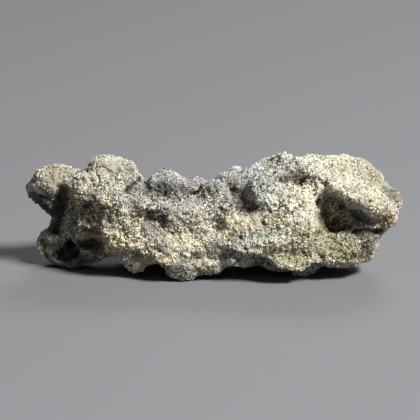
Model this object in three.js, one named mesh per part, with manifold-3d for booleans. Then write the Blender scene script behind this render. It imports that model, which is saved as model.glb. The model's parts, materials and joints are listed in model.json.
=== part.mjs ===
// A fulgurite: a short length of the rough glass tube that lightning melts into dune sand.
// It formed as one piece, so it is one solid: a lumpy, slightly flattened tube whose outside is
// fused sand, torn open at its right end and broken across at its left.
//
// Millimetres. X runs along the tube, Y from its front to its back, Z up.
// The origin is the middle of the underside, on the level surface that it rests on.

import * as THREE from 'three';
import { MarchingCubes } from 'three/addons/objects/MarchingCubes.js';
import { ImprovedNoise } from 'three/addons/math/ImprovedNoise.js';
import { mergeVertices } from 'three/addons/utils/BufferGeometryUtils.js';
import Module from 'manifold-3d';

// ---- Driving dimensions ------------------------------------------------------------------

const LENGTH = 50; // the whole piece, end to end
const REST_HEIGHT = -7.45; // level of the surface it rests on, below the tube's axis
const SIGHT_TILT = THREE.MathUtils.degToRad( 15 ); // front places are read from this far above level
const CELL = 0.93; // spacing of the grid on which the skin is found
const SOFT_JOIN = 1.2; // how far two lumps run into each other where they meet
const SOFT_EDGE = 0.7; // how far the lip of a hollow is rounded over
const SWAY = 0.8; // how far the forms are pushed out of true
const SWAY_SPAN = 3.6; // and over what length
const WRINKLE = 0.4; // height of the small unevenness of the skin
const WRINKLE_SPAN = 1.9; // and its width
const RELAX_ROUNDS = 4; // passes that even out the skin's triangles

const CRUST = { color: 0xb9b4a0, roughness: 0.85, metalness: 0 };

// ---- Forms -------------------------------------------------------------------------------

// A place given as it is seen from the front and a little above: along, up, and its true depth.
function seen( along, up, depth ) {

	const height = ( up - depth * Math.sin( SIGHT_TILT ) ) / Math.cos( SIGHT_TILT );
	return [ along, depth, height ];

}

// A rounded lump: an ellipsoid with its own reach along X, Y and Z.
function lump( centre, reach ) {

	return ( x, y, z ) => {

		const dx = x - centre[ 0 ];
		const dy = y - centre[ 1 ];
		const dz = z - centre[ 2 ];
		const level = Math.hypot( dx / reach[ 0 ], dy / reach[ 1 ], dz / reach[ 2 ] );
		const slope = Math.hypot( dx / reach[ 0 ] ** 2, dy / reach[ 1 ] ** 2, dz / reach[ 2 ] ** 2 );
		return slope > 0 ? level * ( level - 1 ) / slope : - Math.min( ...reach );

	};

}

// A ridge through a few places, each [ place, radius ], round in section.
function ridge( ...knots ) {

	return ( x, y, z ) => {

		let nearest = Infinity;
		for ( let i = 1; i < knots.length; i ++ ) {

			const [ a, ra ] = knots[ i - 1 ];
			const [ b, rb ] = knots[ i ];
			const run = [ b[ 0 ] - a[ 0 ], b[ 1 ] - a[ 1 ], b[ 2 ] - a[ 2 ] ];
			const off = [ x - a[ 0 ], y - a[ 1 ], z - a[ 2 ] ];
			const square = run[ 0 ] ** 2 + run[ 1 ] ** 2 + run[ 2 ] ** 2;
			const dot = off[ 0 ] * run[ 0 ] + off[ 1 ] * run[ 1 ] + off[ 2 ] * run[ 2 ];
			const t = THREE.MathUtils.clamp( dot / square, 0, 1 );
			const away = Math.hypot( off[ 0 ] - run[ 0 ] * t, off[ 1 ] - run[ 1 ] * t, off[ 2 ] - run[ 2 ] * t );
			nearest = Math.min( nearest, away - THREE.MathUtils.lerp( ra, rb, t ) );

		}

		return nearest;

	};

}

// The tube's body, from the left end to the right. Its left end tapers away from the front.
const trunk = [
	lump( seen( - 20.0, 0.4, 2.0 ), [ 4.2, 3.8, 4.4 ] ),
	lump( seen( - 16.9, - 0.2, 1.2 ), [ 4.6, 5.2, 5.2 ] ),
	lump( seen( - 12.4, - 0.2, 0 ), [ 4.8, 6.0, 5.3 ] ),
	lump( seen( - 8.4, - 0.9, 0 ), [ 5.5, 6.4, 5.2 ] ),
	lump( seen( - 3.8, - 1.3, - 0.2 ), [ 5.5, 6.7, 5.2 ] ),
	lump( seen( 0.9, - 0.8, 0 ), [ 5.5, 6.8, 5.6 ] ),
	lump( seen( 5.5, 0, 0.2 ), [ 6.0, 7.0, 6.2 ] ),
	lump( seen( 10.1, 0.4, 0.3 ), [ 6.0, 7.3, 6.7 ] ),
	lump( seen( 14.8, 0.7, 0.3 ), [ 6.0, 7.3, 6.7 ] ),
	lump( seen( 19.2, 0.9, 0.5 ), [ 4.4, 6.0, 5.5 ] ),
];

// The row of humps along the top.
const crest = [
	lump( seen( - 18.0, 4.5, 0.3 ), [ 2.6, 4.0, 2.0 ] ),
	lump( seen( - 13.3, 4.7, 0 ), [ 3.2, 4.6, 2.9 ] ),
	lump( seen( - 15.1, 6.3, - 0.6 ), [ 2.1, 2.2, 1.9 ] ),
	lump( seen( - 11.9, 5.8, - 1.0 ), [ 1.9, 2.4, 1.9 ] ),
	lump( seen( - 13.6, 3.4, - 3.4 ), [ 2.4, 2.0, 1.8 ] ),
	lump( seen( - 6.4, 4.3, 0.5 ), [ 2.4, 3.2, 2.0 ] ),
	lump( seen( - 5.3, 3.8, - 1.8 ), [ 1.9, 2.0, 1.6 ] ),
	lump( seen( - 2.2, 3.3, 0.8 ), [ 3.0, 3.5, 1.6 ] ),
	lump( seen( 2.9, 4.4, 0.4 ), [ 3.3, 4.2, 2.0 ] ),
	lump( seen( 6.3, 5.0, 0.3 ), [ 2.6, 4.0, 2.1 ] ),
	lump( seen( 9.5, 6.0, 0 ), [ 2.8, 4.2, 2.4 ] ),
	lump( seen( 13.6, 6.3, 0.3 ), [ 3.0, 4.8, 2.4 ] ),
	lump( seen( 17.2, 6.1, - 0.2 ), [ 2.6, 4.2, 2.4 ] ),
	lump( seen( 19.3, 5.1, 0.2 ), [ 2.8, 4.2, 2.6 ] ),
	lump( seen( 21.2, 4.0, 0 ), [ 2.2, 3.6, 2.6 ] ),
];

// The broken left end: an upper and a lower lobe with the tube's mouth in the lower one.
const leftEnd = [
	lump( seen( - 21.7, 4.7, 0.4 ), [ 3.1, 3.4, 2.5 ] ),
	lump( seen( - 24.2, 3.2, 0.6 ), [ 1.2, 1.8, 1.2 ] ),
	ridge( [ seen( - 23.6, 3.0, 0.8 ), 1.4 ], [ seen( - 21.4, 1.0, 1.8 ), 1.5 ] ),
	lump( seen( - 20.4, - 4.2, 1.4 ), [ 3.4, 3.2, 2.7 ] ),
	lump( seen( - 22.9, - 3.9, 2.3 ), [ 1.4, 2.1, 2.1 ] ),
	lump( seen( - 17.3, - 4.2, 0.2 ), [ 2.4, 3.6, 2.2 ] ),
];

// The right end: a lip that hangs over the torn channel, and a ledge below it.
const rightEnd = [
	lump( seen( 22.6, 1.3, - 1.5 ), [ 2.0, 3.0, 2.3 ] ),
	lump( seen( 24.3, 2.5, - 1.0 ), [ 1.0, 1.3, 1.4 ] ),
	lump( seen( 22.9, - 0.4, - 2.5 ), [ 1.6, 1.8, 1.2 ] ),
	ridge(
		[ seen( 13.6, 4.6, - 5.2 ), 2.0 ],
		[ seen( 18.1, 3.5, - 6.2 ), 1.9 ],
		[ seen( 21.2, 1.8, - 5.4 ), 1.8 ],
		[ seen( 23.0, 0.5, - 3.6 ), 1.3 ],
	),
	lump( seen( 16.8, - 4.3, - 1.5 ), [ 5.2, 5.0, 2.2 ] ),
	lump( seen( 19.8, - 3.1, - 1.0 ), [ 1.9, 3.2, 1.7 ] ),
	lump( seen( 13.0, - 4.2, - 5.0 ), [ 3.4, 2.7, 2.4 ] ),
	lump( seen( 16.0, - 4.3, - 5.2 ), [ 3.4, 2.6, 2.1 ] ),
	lump( seen( 18.2, - 3.8, - 4.6 ), [ 2.9, 2.6, 1.8 ] ),
	lump( seen( 20.3, - 3.0, - 3.4 ), [ 1.7, 2.4, 1.5 ] ),
];

// Ridges, knobs and ledges of the front.
const front = [
	ridge(
		[ seen( - 19.0, 4.0, - 1.8 ), 1.2 ],
		[ seen( - 16.0, 2.9, - 3.6 ), 1.5 ],
		[ seen( - 13.0, 2.0, - 5.2 ), 1.6 ],
		[ seen( - 9.7, 1.6, - 5.6 ), 1.7 ],
		[ seen( - 5.5, 1.4, - 5.9 ), 1.6 ],
		[ seen( - 0.3, 0.9, - 6.1 ), 1.8 ],
	),
	lump( seen( - 12.3, - 0.6, - 5.2 ), [ 2.2, 1.7, 1.9 ] ),
	lump( seen( - 9.6, - 0.9, - 5.8 ), [ 1.9, 1.4, 1.5 ] ),
	ridge( [ seen( - 13.6, - 2.8, - 5.2 ), 1.6 ], [ seen( - 9.8, - 3.2, - 5.6 ), 1.7 ] ),
	lump( seen( - 7.0, - 3.6, - 5.4 ), [ 2.3, 2.1, 2.2 ] ),
	lump( seen( - 3.7, - 3.5, - 5.7 ), [ 2.3, 2.2, 2.2 ] ),
	lump( seen( - 2.8, - 0.8, - 6.1 ), [ 2.4, 1.6, 1.9 ] ),
	lump( seen( - 0.4, - 3.2, - 6.4 ), [ 1.8, 1.3, 1.5 ] ),
	lump( seen( 1.9, 1.9, - 6.1 ), [ 2.0, 1.7, 1.6 ] ),
	lump( seen( - 1.0, 3.9, - 4.5 ), [ 1.8, 2.0, 1.2 ] ),
	lump( seen( 0.2, 3.3, - 5.4 ), [ 1.6, 1.5, 1.0 ] ),
	ridge(
		[ seen( 1.9, - 1.1, - 6.0 ), 1.7 ],
		[ seen( 6.4, - 0.8, - 6.5 ), 1.7 ],
		[ seen( 10.1, 0.1, - 6.6 ), 2.0 ],
	),
	ridge(
		[ seen( - 1.2, - 5.2, - 5.2 ), 1.4 ],
		[ seen( 2.9, - 3.7, - 6.3 ), 1.4 ],
		[ seen( 7.6, - 2.8, - 6.7 ), 1.7 ],
		[ seen( 11.5, - 2.8, - 6.6 ), 1.7 ],
	),
	lump( seen( 7.9, - 5.0, - 5.4 ), [ 2.6, 2.2, 2.3 ] ),
	lump( seen( 10.6, - 5.0, - 5.2 ), [ 2.4, 2.4, 2.4 ] ),
	lump( seen( 10.5, 1.5, - 5.4 ), [ 3.0, 3.2, 3.3 ] ),
	lump( seen( 12.3, 0.2, - 6.2 ), [ 1.7, 2.2, 3.0 ] ),
	lump( seen( 7.3, 2.6, - 5.2 ), [ 2.2, 2.4, 2.0 ] ),
	lump( seen( 6.2, 4.4, - 4.2 ), [ 2.4, 2.0, 1.5 ] ),
];

// Lobes that hang below the tube. The lowest of them are what it rests on.
const underside = [
	lump( seen( - 10.4, - 5.2, - 3.6 ), [ 2.3, 3.0, 2.0 ] ),
	lump( seen( - 7.9, - 4.9, - 4.2 ), [ 1.8, 2.4, 1.6 ] ),
	lump( seen( - 4.3, - 6.5, - 4.6 ), [ 2.5, 3.0, 2.5 ] ),
	lump( seen( - 0.8, - 6.1, - 4.6 ), [ 2.4, 2.8, 1.8 ] ),
	lump( seen( 3.6, - 5.2, - 3.4 ), [ 2.6, 3.0, 1.8 ] ),
	lump( seen( 8.9, - 5.8, - 2.5 ), [ 2.0, 3.5, 1.9 ] ),
	lump( seen( 11.2, - 5.8, - 2.6 ), [ 2.6, 4.0, 2.4 ] ),
	lump( seen( 11.3, - 7.2, - 4.2 ), [ 0.9, 1.1, 0.9 ] ),
	lump( seen( 17.6, - 5.6, - 3.0 ), [ 1.0, 1.2, 0.8 ] ),
	lump( [ - 20.0, 2.2, - 5.0 ], [ 2.8, 3.0, 2.8 ] ),
	lump( [ - 5.2, 3.8, - 4.9 ], [ 4.2, 3.2, 2.9 ] ),
	lump( [ - 9.0, 3.0, - 4.4 ], [ 3.0, 3.0, 2.2 ] ),
	lump( [ 12.0, 4.0, - 4.8 ], [ 4.6, 3.4, 3.0 ] ),
	lump( [ 6.6, 4.4, - 5.0 ], [ 3.0, 2.4, 2.0 ] ),
];

// Humps, a long crooked ridge and knobs of the back.
const back = [
	lump( [ - 17.0, 3.8, 1.5 ], [ 3.5, 2.6, 3.0 ] ),
	lump( [ - 10.0, 5.0, - 1.0 ], [ 3.6, 2.4, 3.2 ] ),
	lump( [ - 2.0, 5.2, 1.0 ], [ 3.8, 2.4, 2.6 ] ),
	lump( [ 5.0, 6.0, - 1.5 ], [ 3.6, 2.2, 2.8 ] ),
	lump( [ 11.0, 6.2, 2.2 ], [ 3.6, 2.2, 2.6 ] ),
	lump( [ 18.0, 4.2, - 1.5 ], [ 3.4, 3.0, 3.0 ] ),
	ridge(
		[ [ - 15.0, 5.6, - 2.6 ], 1.2 ],
		[ [ - 9.5, 6.6, - 3.4 ], 1.4 ],
		[ [ - 4.0, 6.8, - 1.8 ], 1.3 ],
		[ [ 1.5, 7.3, 0.6 ], 1.4 ],
		[ [ 7.0, 7.4, 0.2 ], 1.4 ],
	),
	ridge( [ [ 10.0, 7.4, - 3.0 ], 1.5 ], [ [ 15.5, 6.8, - 3.6 ], 1.4 ], [ [ 19.5, 5.2, - 2.2 ], 1.2 ] ),
	lump( [ - 13.2, 4.6, 3.2 ], [ 1.8, 1.9, 1.6 ] ),
	lump( [ - 6.6, 6.2, 2.2 ], [ 1.6, 1.4, 1.4 ] ),
	lump( [ 3.4, 6.4, 4.2 ], [ 1.9, 1.5, 1.4 ] ),
	lump( [ 15.6, 6.0, 4.0 ], [ 2.0, 1.6, 1.6 ] ),
	lump( [ 21.0, 3.2, 1.6 ], [ 1.8, 2.2, 2.2 ] ),
];

// Hollows, clefts and pits, cut after the lumps are joined.
const hollows = [
	// the torn channel at the right end, which runs out below the lip
	ridge( [ seen( 15.9, 1.3, - 9.0 ), 1.9 ], [ seen( 15.9, 1.1, - 4.0 ), 1.7 ] ),
	ridge( [ seen( 15.8, - 0.5, - 9.5 ), 1.8 ], [ seen( 16.0, - 0.6, - 4.0 ), 1.7 ] ),
	ridge(
		[ seen( 17.4, 0.4, - 8.0 ), 1.8 ],
		[ seen( 18.4, - 0.2, - 4.4 ), 1.7 ],
	),
	ridge(
		[ seen( 18.0, - 0.9, - 7.6 ), 1.4 ],
		[ seen( 20.4, - 1.4, - 5.6 ), 1.1 ],
		[ seen( 22.9, - 1.9, - 4.2 ), 0.8 ],
	),
	// the cleft between the left lobes and the body, and the notch in the end
	ridge(
		[ seen( - 19.7, 4.0, - 3.9 ), 1.1 ],
		[ seen( - 20.1, 2.6, - 2.8 ), 1.3 ],
		[ seen( - 20.3, 0.6, - 1.9 ), 1.6 ],
		[ seen( - 20.4, - 1.8, - 1.9 ), 1.4 ],
	),
	lump( seen( - 24.2, - 0.7, 0.5 ), [ 1.9, 6.0, 1.6 ] ),
	// the tube's mouth
	ridge( [ seen( - 22.0, - 4.8, - 4.4 ), 2.1 ], [ seen( - 19.3, - 4.3, 2.0 ), 1.35 ] ),
	// recesses of the lower left
	lump( seen( - 16.6, - 3.9, - 5.4 ), [ 2.6, 2.6, 1.3 ] ),
	ridge( [ seen( - 15.4, - 5.2, - 5.6 ), 1.2 ], [ seen( - 11.4, - 5.6, - 6.0 ), 1.0 ] ),
	lump( seen( - 17.4, 0.4, - 6.6 ), [ 2.8, 2.3, 2.4 ] ),
	// clefts between the humps
	ridge( [ seen( - 12.0, 3.2, - 5.9 ), 0.9 ], [ seen( - 9.8, 5.3, - 3.3 ), 1.0 ] ),
	ridge( [ seen( - 8.4, 3.1, - 6.2 ), 1.1 ], [ seen( - 2.4, 2.8, - 6.1 ), 1.0 ] ),
	ridge(
		[ seen( 2.5, 4.2, - 6.1 ), 0.9 ],
		[ seen( 4.6, 2.1, - 6.9 ), 1.3 ],
		[ seen( 6.3, 0.8, - 7.4 ), 1.0 ],
	),
	// hollows and pits of the front
	lump( seen( - 7.8, - 0.1, - 7.6 ), [ 2.1, 2.2, 1.1 ] ),
	lump( seen( 2.4, - 5.3, - 7.2 ), [ 1.7, 2.2, 1.1 ] ),
	lump( seen( 0.6, - 1.6, - 7.8 ), [ 0.8, 1.4, 1.1 ] ),
	lump( seen( 11.2, 5.3, - 5.6 ), [ 1.2, 1.6, 0.8 ] ),
	lump( seen( 6.0, - 6.6, - 5.6 ), [ 2.0, 2.6, 1.0 ] ),
	// clefts and hollows of the back
	ridge( [ [ - 12.2, 7.2, 1.6 ], 1.1 ], [ [ - 8.8, 7.2, 1.0 ], 1.0 ], [ [ - 6.2, 7.6, - 0.4 ], 0.9 ] ),
	lump( [ - 1.2, 7.4, - 3.6 ], [ 2.4, 1.8, 1.5 ] ),
	ridge( [ [ 8.4, 8.6, 2.6 ], 1.0 ], [ [ 11.0, 8.6, - 0.2 ], 1.2 ], [ [ 15.5, 7.8, - 0.6 ], 1.1 ] ),
	lump( [ - 18.4, 6.6, - 0.4 ], [ 1.7, 1.8, 1.3 ] ),
	lump( [ 19.6, 7.2, 2.2 ], [ 1.4, 1.8, 1.6 ] ),
	// dips of the top
	lump( [ 0.4, 2.2, 7.4 ], [ 1.6, 1.8, 1.2 ] ),
	lump( [ - 9.2, 2.0, 6.6 ], [ 1.2, 2.2, 1.2 ] ),
	lump( [ 12.2, 3.6, 9.2 ], [ 2.0, 1.2, 1.5 ] ),
];

// ---- The skin ----------------------------------------------------------------------------

// The lesser of two distances, with the crease between them filled over a width.
function joined( a, b, width ) {

	const overlap = Math.max( width - Math.abs( a - b ), 0 );
	return Math.min( a, b ) - overlap * overlap / ( 4 * width );

}

const solidForms = [ ...trunk, ...crest, ...leftEnd, ...rightEnd, ...front, ...underside, ...back ];
const noise = new ImprovedNoise();

// Smooth unevenness from -1 to 1 that repeats itself nowhere, over about one span.
function uneven( x, y, z, span, start ) {

	return noise.noise( x / span + start, y / span + start, z / span + start );

}

// Distance from a place to the skin: below zero inside the glass.
function distance( x, y, z ) {

	const px = x + SWAY * uneven( x, y, z, SWAY_SPAN, 11.5 );
	const py = y + SWAY * uneven( x, y, z, SWAY_SPAN, 47.3 );
	const pz = z + SWAY * uneven( x, y, z, SWAY_SPAN, 83.9 );
	let solid = Infinity;
	for ( const form of solidForms ) solid = joined( solid, form( px, py, pz ), SOFT_JOIN );
	for ( const hollow of hollows ) solid = - joined( - solid, hollow( px, py, pz ), SOFT_EDGE );
	return solid + WRINKLE * uneven( x, y, z, WRINKLE_SPAN, 5.1 );

}

// The steepest way out from a place, with the length of the slope there.
function outward( x, y, z ) {

	const step = 0.05;
	return new THREE.Vector3(
		distance( x + step, y, z ) - distance( x - step, y, z ),
		distance( x, y + step, z ) - distance( x, y - step, z ),
		distance( x, y, z + step ) - distance( x, y, z - step ),
	).divideScalar( 2 * step );

}

// Triangles of the skin, found on a grid of cubes round the whole piece.
function findSkin() {

	const cells = Math.ceil( ( LENGTH + 6 * CELL ) / CELL );
	const half = cells * CELL / 2;
	const keepOff = 0.06 * CELL; // no grid point lies closer to the skin, which avoids slivers
	const grid = new MarchingCubes( cells, new THREE.MeshStandardMaterial(), false, false, 30000 );
	grid.isolation = 0;
	for ( let k = 0; k < cells; k ++ ) {

		for ( let j = 0; j < cells; j ++ ) {

			for ( let i = 0; i < cells; i ++ ) {

				const out = distance( i * CELL - half, j * CELL - half, k * CELL - half );
				grid.setCell( i, j, k, - Math.sign( out || 1 ) * Math.max( Math.abs( out ), keepOff ) );

			}

		}

	}

	grid.update();
	const corners = grid.geometry.attributes.position.array.slice( 0, grid.count * 3 );
	const skin = new THREE.BufferGeometry();
	skin.setAttribute( 'position', new THREE.BufferAttribute( corners, 3 ) );
	skin.scale( half, half, half );
	return mergeVertices( skin, 1e-3 );

}

// Moves each corner towards the middle of its neighbours, then back onto the skin.
function relax( skin ) {

	const place = skin.attributes.position;
	const index = skin.index.array;
	const neighbours = Array.from( { length: place.count }, () => new Set() );
	for ( let i = 0; i < index.length; i += 3 ) {

		for ( let k = 0; k < 3; k ++ ) {

			neighbours[ index[ i + k ] ].add( index[ i + ( k + 1 ) % 3 ] );
			neighbours[ index[ i + k ] ].add( index[ i + ( k + 2 ) % 3 ] );

		}

	}

	const moved = new Float32Array( place.array.length );
	const middle = new THREE.Vector3();
	const corner = new THREE.Vector3();
	for ( let i = 0; i < place.count; i ++ ) {

		middle.set( 0, 0, 0 );
		for ( const n of neighbours[ i ] ) middle.add( corner.fromBufferAttribute( place, n ) );
		middle.divideScalar( neighbours[ i ].size );
		corner.fromBufferAttribute( place, i ).lerp( middle, 0.6 );
		const way = outward( corner.x, corner.y, corner.z );
		const steep = Math.max( way.lengthSq(), 0.25 );
		corner.addScaledVector( way, - distance( corner.x, corner.y, corner.z ) / steep );
		corner.toArray( moved, i * 3 );

	}

	place.array.set( moved );

}

// Moves the corners that lie close to a level clear of it, so that a cut there leaves no slivers.
function clearLevel( skin, level, gap ) {

	const place = skin.attributes.position;
	for ( let i = 0; i < place.count; i ++ ) {

		const above = place.getZ( i ) - level;
		if ( Math.abs( above ) < gap ) place.setZ( i, level + ( above < 0 ? - gap : gap ) );

	}

}

// ---- Joining and cutting -----------------------------------------------------------------

const wasm = await Module();
wasm.setup();

// A closed geometry as a solid that can be cut.
function toSolid( geometry ) {

	const bare = geometry.clone();
	bare.deleteAttribute( 'normal' );
	bare.deleteAttribute( 'uv' );
	const merged = mergeVertices( bare, 1e-3 );
	return new wasm.Manifold( new wasm.Mesh( {
		numProp: 3,
		vertProperties: merged.attributes.position.array,
		triVerts: new Uint32Array( merged.index.array ),
	} ) );

}

// A solid as a geometry that three.js draws.
function toGeometry( solid ) {

	const mesh = solid.getMesh();
	const geometry = new THREE.BufferGeometry();
	geometry.setAttribute( 'position', new THREE.BufferAttribute( mesh.vertProperties, 3 ) );
	geometry.setIndex( new THREE.BufferAttribute( mesh.triVerts, 1 ) );
	return geometry;

}

// Everything below the resting level, which leaves a flat patch under each lowest lobe.
function groundBlock() {

	const deep = LENGTH;
	const block = new THREE.BoxGeometry( 2 * LENGTH, 2 * LENGTH, deep );
	block.translate( 0, 0, REST_HEIGHT - deep / 2 );
	return block;

}

// Sets a geometry's length, and puts the middle of its underside at the origin.
function settle( geometry ) {

	geometry.computeBoundingBox();
	const size = geometry.boundingBox.getSize( new THREE.Vector3() );
	geometry.scale( LENGTH / size.x, LENGTH / size.x, LENGTH / size.x );
	geometry.computeBoundingBox();
	const middle = geometry.boundingBox.getCenter( new THREE.Vector3() );
	geometry.translate( - middle.x, - middle.y, - geometry.boundingBox.min.z );

}

// ---- The piece ---------------------------------------------------------------------------

function makeFulgurite() {

	const skin = findSkin();
	for ( let round = 0; round < RELAX_ROUNDS; round ++ ) relax( skin );
	clearLevel( skin, REST_HEIGHT, 0.15 * CELL );
	const geometry = toGeometry( toSolid( skin ).subtract( toSolid( groundBlock() ) ) );
	settle( geometry );
	geometry.computeVertexNormals();
	const mesh = new THREE.Mesh( geometry, new THREE.MeshStandardMaterial( CRUST ) );
	mesh.name = 'fulgurite';
	return mesh;

}

const part = new THREE.Group();
part.add( makeFulgurite() );

export default part;
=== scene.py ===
# %% [markdown]
# # A fulgurite
# Lightning that strikes dune sand melts it along its path and leaves a crooked, lumpy tube: glass inside,
# and a crust of half-melted sand grains outside. This lesson dresses the solid tube with that crust. The
# solid comes first, as a fixed frame that nothing here may move, and its box is kept so that the dressed
# tube can be measured against it at the end.

# %% Load the solid tube
import json
import math

import bmesh
import bpy
import numpy as np
from mathutils import Euler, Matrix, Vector, noise
from mathutils.bvhtree import BVHTree

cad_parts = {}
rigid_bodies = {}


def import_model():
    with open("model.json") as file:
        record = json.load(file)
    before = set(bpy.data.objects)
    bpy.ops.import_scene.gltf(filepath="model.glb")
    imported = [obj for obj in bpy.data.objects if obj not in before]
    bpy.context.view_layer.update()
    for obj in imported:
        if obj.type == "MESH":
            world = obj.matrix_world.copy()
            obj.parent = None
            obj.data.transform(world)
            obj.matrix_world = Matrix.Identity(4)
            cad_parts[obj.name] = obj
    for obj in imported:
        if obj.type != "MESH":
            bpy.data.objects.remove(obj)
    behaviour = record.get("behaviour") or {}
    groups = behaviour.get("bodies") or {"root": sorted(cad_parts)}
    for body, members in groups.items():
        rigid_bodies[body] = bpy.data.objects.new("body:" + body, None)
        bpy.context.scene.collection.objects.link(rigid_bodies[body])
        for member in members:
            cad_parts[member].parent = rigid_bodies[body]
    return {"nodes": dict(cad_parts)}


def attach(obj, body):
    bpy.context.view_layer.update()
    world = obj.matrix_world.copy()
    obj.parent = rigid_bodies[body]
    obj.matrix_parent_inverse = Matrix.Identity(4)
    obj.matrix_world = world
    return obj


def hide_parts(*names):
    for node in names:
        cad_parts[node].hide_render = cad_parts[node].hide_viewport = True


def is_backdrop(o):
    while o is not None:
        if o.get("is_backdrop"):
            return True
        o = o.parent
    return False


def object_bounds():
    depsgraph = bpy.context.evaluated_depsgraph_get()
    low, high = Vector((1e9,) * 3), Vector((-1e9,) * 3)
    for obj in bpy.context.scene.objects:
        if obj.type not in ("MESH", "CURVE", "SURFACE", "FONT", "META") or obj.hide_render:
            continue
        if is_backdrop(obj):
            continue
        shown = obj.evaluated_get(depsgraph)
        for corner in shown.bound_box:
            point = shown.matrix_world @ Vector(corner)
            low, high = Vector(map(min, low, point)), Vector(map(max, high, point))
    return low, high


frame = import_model()
cad_box = [list(corner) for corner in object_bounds()]
MM = 0.001
print("solid tube, mm:", [round(x / MM, 2) for corner in cad_box for x in corner])

# %% [markdown]
# ## Camera
# The tube is 50 mm long. A wide lens close by would swell its middle, so a long lens from about 30 cm
# away keeps its two ends in proportion. It looks down at the tube by 15 degrees, at a point a little left
# of its middle. Places on the front are read later in this same view, in millimetres along the tube and
# up from its axis, so the height of the axis is named here too.

# %% Set up the camera
CAMERA_TILT = 15
FRAME_WIDTH = 55.7 * MM
FOCAL_LENGTH = 200
AXIS = Vector((0, 0, 7.45 * MM))
AIM_ALONG, AIM_UP = -0.46 * MM, 0.80 * MM


def sight(azimuth, elevation):
    """Directions to the right, up and towards a viewer, from angles in degrees. Azimuth 0 is the front."""
    turn, rise = math.radians(azimuth), math.radians(elevation)
    towards = Vector((math.sin(turn) * math.cos(rise), -math.cos(turn) * math.cos(rise), math.sin(rise)))
    right = Vector((math.cos(turn), math.sin(turn), 0))
    return right, towards.cross(right), towards


right, up, towards = sight(0, CAMERA_TILT)
lens = bpy.data.cameras.new("camera")
lens.lens = FOCAL_LENGTH
lens.clip_start = 1 * MM
camera = bpy.data.objects.new("camera", lens)
bpy.context.scene.collection.objects.link(camera)
distance = FRAME_WIDTH * FOCAL_LENGTH / lens.sensor_width
camera.location = AXIS + AIM_ALONG * right + AIM_UP * up + distance * towards
camera.rotation_euler = towards.to_track_quat("Z", "Y").to_euler()
bpy.context.scene.camera = camera
print("camera distance, mm:", round(distance / MM))

# %% [markdown]
# ## A copy of the solid
# The crust is dressed on a copy, because the solid itself has to stay as it is. The solid keeps its
# facets apart, each with its own corners, so the copy is welded first: without that, smoothing would open
# every edge.

# %% Copy and weld the solid
WELD = 0.001 * MM


def shown(name, mesh):
    """A new object with this mesh, at the origin."""
    piece = bpy.data.objects.new(name, mesh)
    bpy.context.scene.collection.objects.link(piece)
    return piece


core = bmesh.new()
core.from_mesh(frame["nodes"]["fulgurite"].data)
bmesh.ops.remove_doubles(core, verts=core.verts, dist=WELD)
mesh = bpy.data.meshes.new("fused_sand_body")
core.to_mesh(mesh)
core.free()
body = shown("fused_sand_body", mesh)
print("welded copy:", len(mesh.vertices), "points")

# %% [markdown]
# ## The body under the crust
# The solid is made of flat facets about a millimetre across, and real fused sand has none. A Subdivision
# Surface rounds them off. The relief that comes later needs points of the same spacing everywhere, which
# subdividing alone doesn't give, so a voxel Remesh then covers the piece with an even net. Its voxels
# leave small steps, which a Smooth modifier eases out.

# %% Round the copy and give it an even net
ROUND_LEVELS = 2
COARSE_NET, COARSE_EASING = 0.25 * MM, 6
EASING_FACTOR = 0.5


def settle(piece):
    """Replaces the piece's mesh by what its modifiers make of it."""
    graph = bpy.context.evaluated_depsgraph_get()
    result = piece.evaluated_get(graph)
    made = bpy.data.meshes.new_from_object(result, preserve_all_data_layers=True, depsgraph=graph)
    piece.modifiers.clear()
    piece.data = made


def ease(piece, factor, rounds):
    """Gives the piece a modifier that moves each point towards its neighbours, this many times."""
    easing = piece.modifiers.new("easing", "SMOOTH")
    easing.factor = factor
    easing.iterations = rounds


def renet(piece, spacing, rounds):
    """Covers the piece with an even net, and eases out the steps of the voxels."""
    net = piece.modifiers.new("net", "REMESH")
    net.mode = "VOXEL"
    net.voxel_size = spacing
    ease(piece, EASING_FACTOR, rounds)
    settle(piece)


rounding = body.modifiers.new("rounding", "SUBSURF")
rounding.levels = rounding.render_levels = ROUND_LEVELS
renet(body, COARSE_NET, COARSE_EASING)
print("coarse net:", len(body.data.vertices), "points")

# %% [markdown]
# ## Placing marks on the skin
# Many details sit at a known spot as seen from one side. A ray shot from that side finds the spot on the
# skin, which is how a sculptor's brush finds it under the cursor, and a BVH tree makes the rays fast.
# From the front the rays leave the camera itself, and from the other sides they run parallel.

# %% Find spots on the skin
SIDES = {"front": (0, CAMERA_TILT), "back": (180, 12), "underside": (0, -70)}
FAR = 60 * MM


def skin_of(piece):
    """A tree that finds where a ray meets the piece."""
    return BVHTree.FromObject(piece, bpy.context.evaluated_depsgraph_get())


def spots_on(skin, side, places):
    """The points of the skin, in mm, at these (along, up) places in mm as seen from a side."""
    right, up, towards = sight(*SIDES[side])
    found = []
    for along, height in places:
        aim = AXIS + along * MM * right + height * MM * up
        start = camera.location if side == "front" else aim + FAR * towards
        spot = skin.ray_cast(start, (aim - start).normalized())[0]
        if spot is None:
            print("missed the skin:", side, along, height)
            continue
        found.append(np.array(spot) / MM)
    return found


skin = skin_of(body)
print("a spot on the front, mm:", spots_on(skin, "front", [(0, 0)])[0].round(1))

# %% [markdown]
# ## How near a point lies to a mark
# A mark is a line over the skin through a few places. Brush strokes, patches of roughness and washes of
# colour all need the same thing: how far each point of the skin lies from such a line. A brush shouldn't
# leave a corner at its rim, so its share falls off along a curve that is flat at both ends.

# %% Measure distances to a mark
def off_line(points, spots):
    """How far each point lies from the line through the spots."""
    if len(spots) == 1:
        return np.linalg.norm(points - spots[0], axis=1)
    nearest = np.full(len(points), np.inf)
    for a, b in zip(spots, spots[1:]):
        run = b - a
        share = np.clip((points - a) @ run / (run @ run), 0, 1)
        nearest = np.minimum(nearest, np.linalg.norm(points - a - share[:, None] * run, axis=1))
    return nearest


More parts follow.
